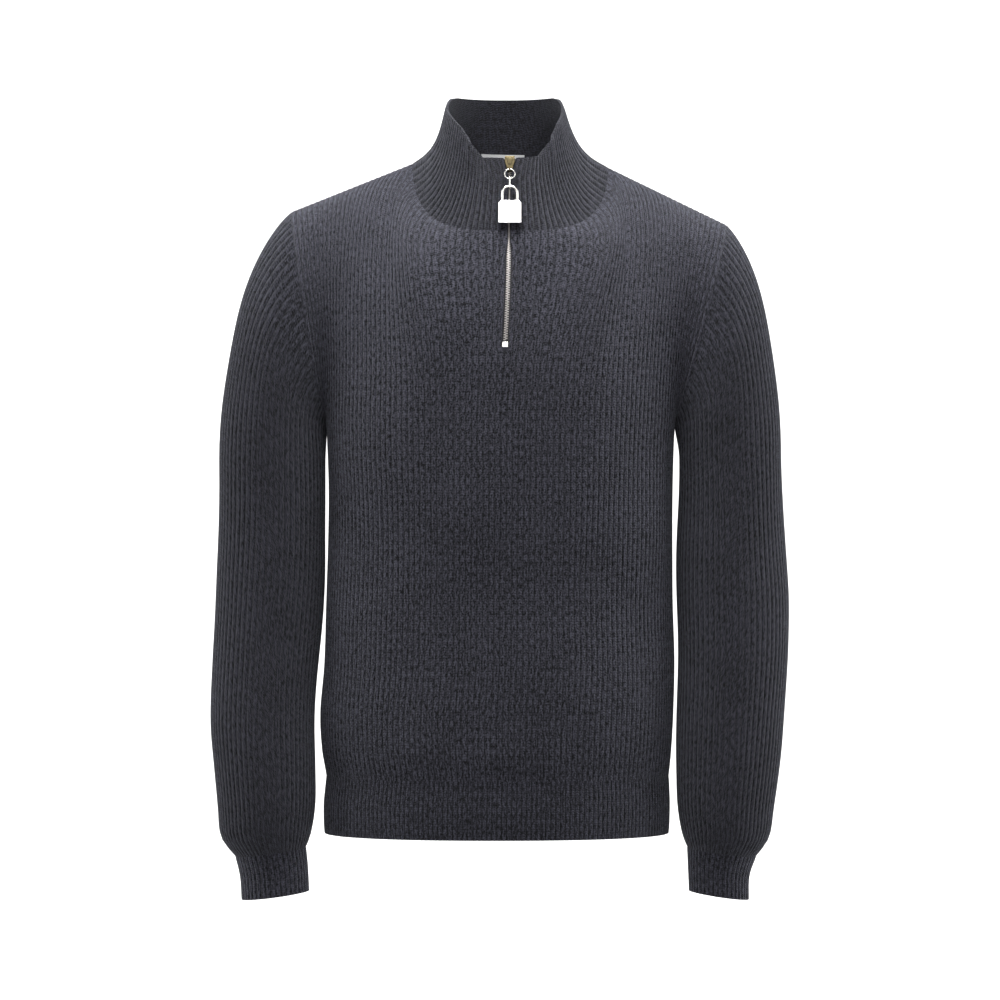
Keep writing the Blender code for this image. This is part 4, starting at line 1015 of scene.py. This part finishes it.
silver = metal("padlock_silver", "#f6f6f5", "#dedddb", 0.12, 0.06, 0.10)
lock_top = legs_end - RUNNING
lock_middle = lock_top - LOCK[2] / 2
lock = start_piece("charm_padlock", LOCK, (0, 0, lock_middle))
bpy.ops.object.mode_set(mode="EDIT")
bpy.ops.mesh.select_mode(type="EDGE")
shape = bmesh.from_edit_mesh(lock.data)
for edge in shape.edges:
    a, b = (vert.co for vert in edge.verts)
    edge.select_set(min(a.z, b.z) > lock_top - 1e-6 and abs(a.x - b.x) < 1e-6)
bmesh.update_edit_mesh(lock.data)
bpy.ops.mesh.bevel(offset=0.0024, segments=1)
pick(lock, lambda middle, normal: abs(normal.y) > 0.9)
bpy.ops.mesh.inset(thickness=0.0011, depth=0.0)
bpy.ops.mesh.inset(thickness=0.00035, depth=-0.0003)
soften(lock, 0.00045, 3)
sill = start_piece("sill", (LOCK[0] - 0.0006, LOCK[1] - 0.0006, 0.0008), (0, 0, lock_top - LOCK[2] + 0.0010))
pick(sill, lambda middle, normal: abs(normal.z) < 0.1)
bpy.ops.mesh.inset(thickness=0.00012, depth=0.0)
soften(sill, 0.0001, 1)
bushes = []
for side in (-1, 1):
    bpy.ops.object.select_all(action="DESELECT")
    bpy.ops.mesh.primitive_cylinder_add(
        vertices=32, radius=SHACKLE_WIRE + 0.0006, depth=0.0007,
        location=(side * SHACKLE_RADIUS, 0, lock_top - 0.0003))
    bush = bpy.context.object
    bpy.ops.object.transform_apply(location=True, rotation=True, scale=True)
    pick(bush, lambda middle, normal: abs(normal.z) > 0.9)
    bpy.ops.mesh.inset(thickness=0.0005, depth=0.0)
    soften(bush, 0.00015, 2)
    bushes.append(bush)
padlock = merge("charm_padlock", [lock, sill, *bushes])
hang(padlock, lock_axis, silver, "padlock", "padlock_metal", "padlock")

# ---- Label ----------------------------------------------------------------------------------
# A blank strip of light grey satin, its ends folded under and stitched, inside the back of the
# collar. It has no lettering.
LABEL_WIDE, LABEL_TALL, LABEL_THICK = 0.0450, 0.0170, 0.0010
LABEL_BOTTOM = 0.0030

satin, tree, shader = blank_material("label_satin")
cloth = place(tree, "UVMap", {"uv_map": "cloth"})
fine = place(tree, "Mapping", Vector=cloth, Scale=(5200.0, 700.0, 1.0))
threads = place(tree, "TexNoise", {"noise_dimensions": "2D"}, Vector=fine, Scale=1.0, Detail=2.0)
tint = place(tree, "MixRGB", Fac=threads, Color1=linear("#8e8e90"), Color2=linear("#b9b9ba"))
tree.links.new(tint, shader.inputs["Base Color"])
shader.inputs["Roughness"].default_value = 0.42
shader.inputs["Sheen Weight"].default_value = 0.2
weave = place(tree, "Bump", Height=threads, Strength=0.4, Distance=0.0001)
tree.links.new(weave, shader.inputs["Normal"])

inside = collar - collar_out * (WALL + 0.0008)
centre = (COLLAR_RIBS * STITCHES) // 2
columns = range(centre - 44, centre + 45)
reach = np.linspace(-LABEL_WIDE / 2, LABEL_WIDE / 2, 31)[::-1]
rows = []
for height in np.linspace(LABEL_BOTTOM, LABEL_BOTTOM + LABEL_TALL, 13):
    line = np.array([
        [np.interp(height, inside[:, c, 2], inside[:, c, k]) for k in range(2)] for c in columns])
    order = np.argsort(line[:, 0])
    deep = np.interp(reach, line[order, 0], line[order, 1])
    rows.append(np.stack([reach, deep, height - 0.02 * reach], axis=1))
grid = np.array(rows)
out = directions(grid, False)
if out[6, 15, 1] < 0:
    out = -out
folded = np.exp(-((np.abs(reach) - LABEL_WIDE / 2 + 0.0015) / 0.0006) ** 2)
grid = grid - out * 0.0002 * (1 - folded)[None, :, None]
label = knit("neck_label", grid, out, np.linspace(0, 1, 31), LABEL_WIDE, 0.0, (satin,), thick=LABEL_THICK)
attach(label, "garment")
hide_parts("label")
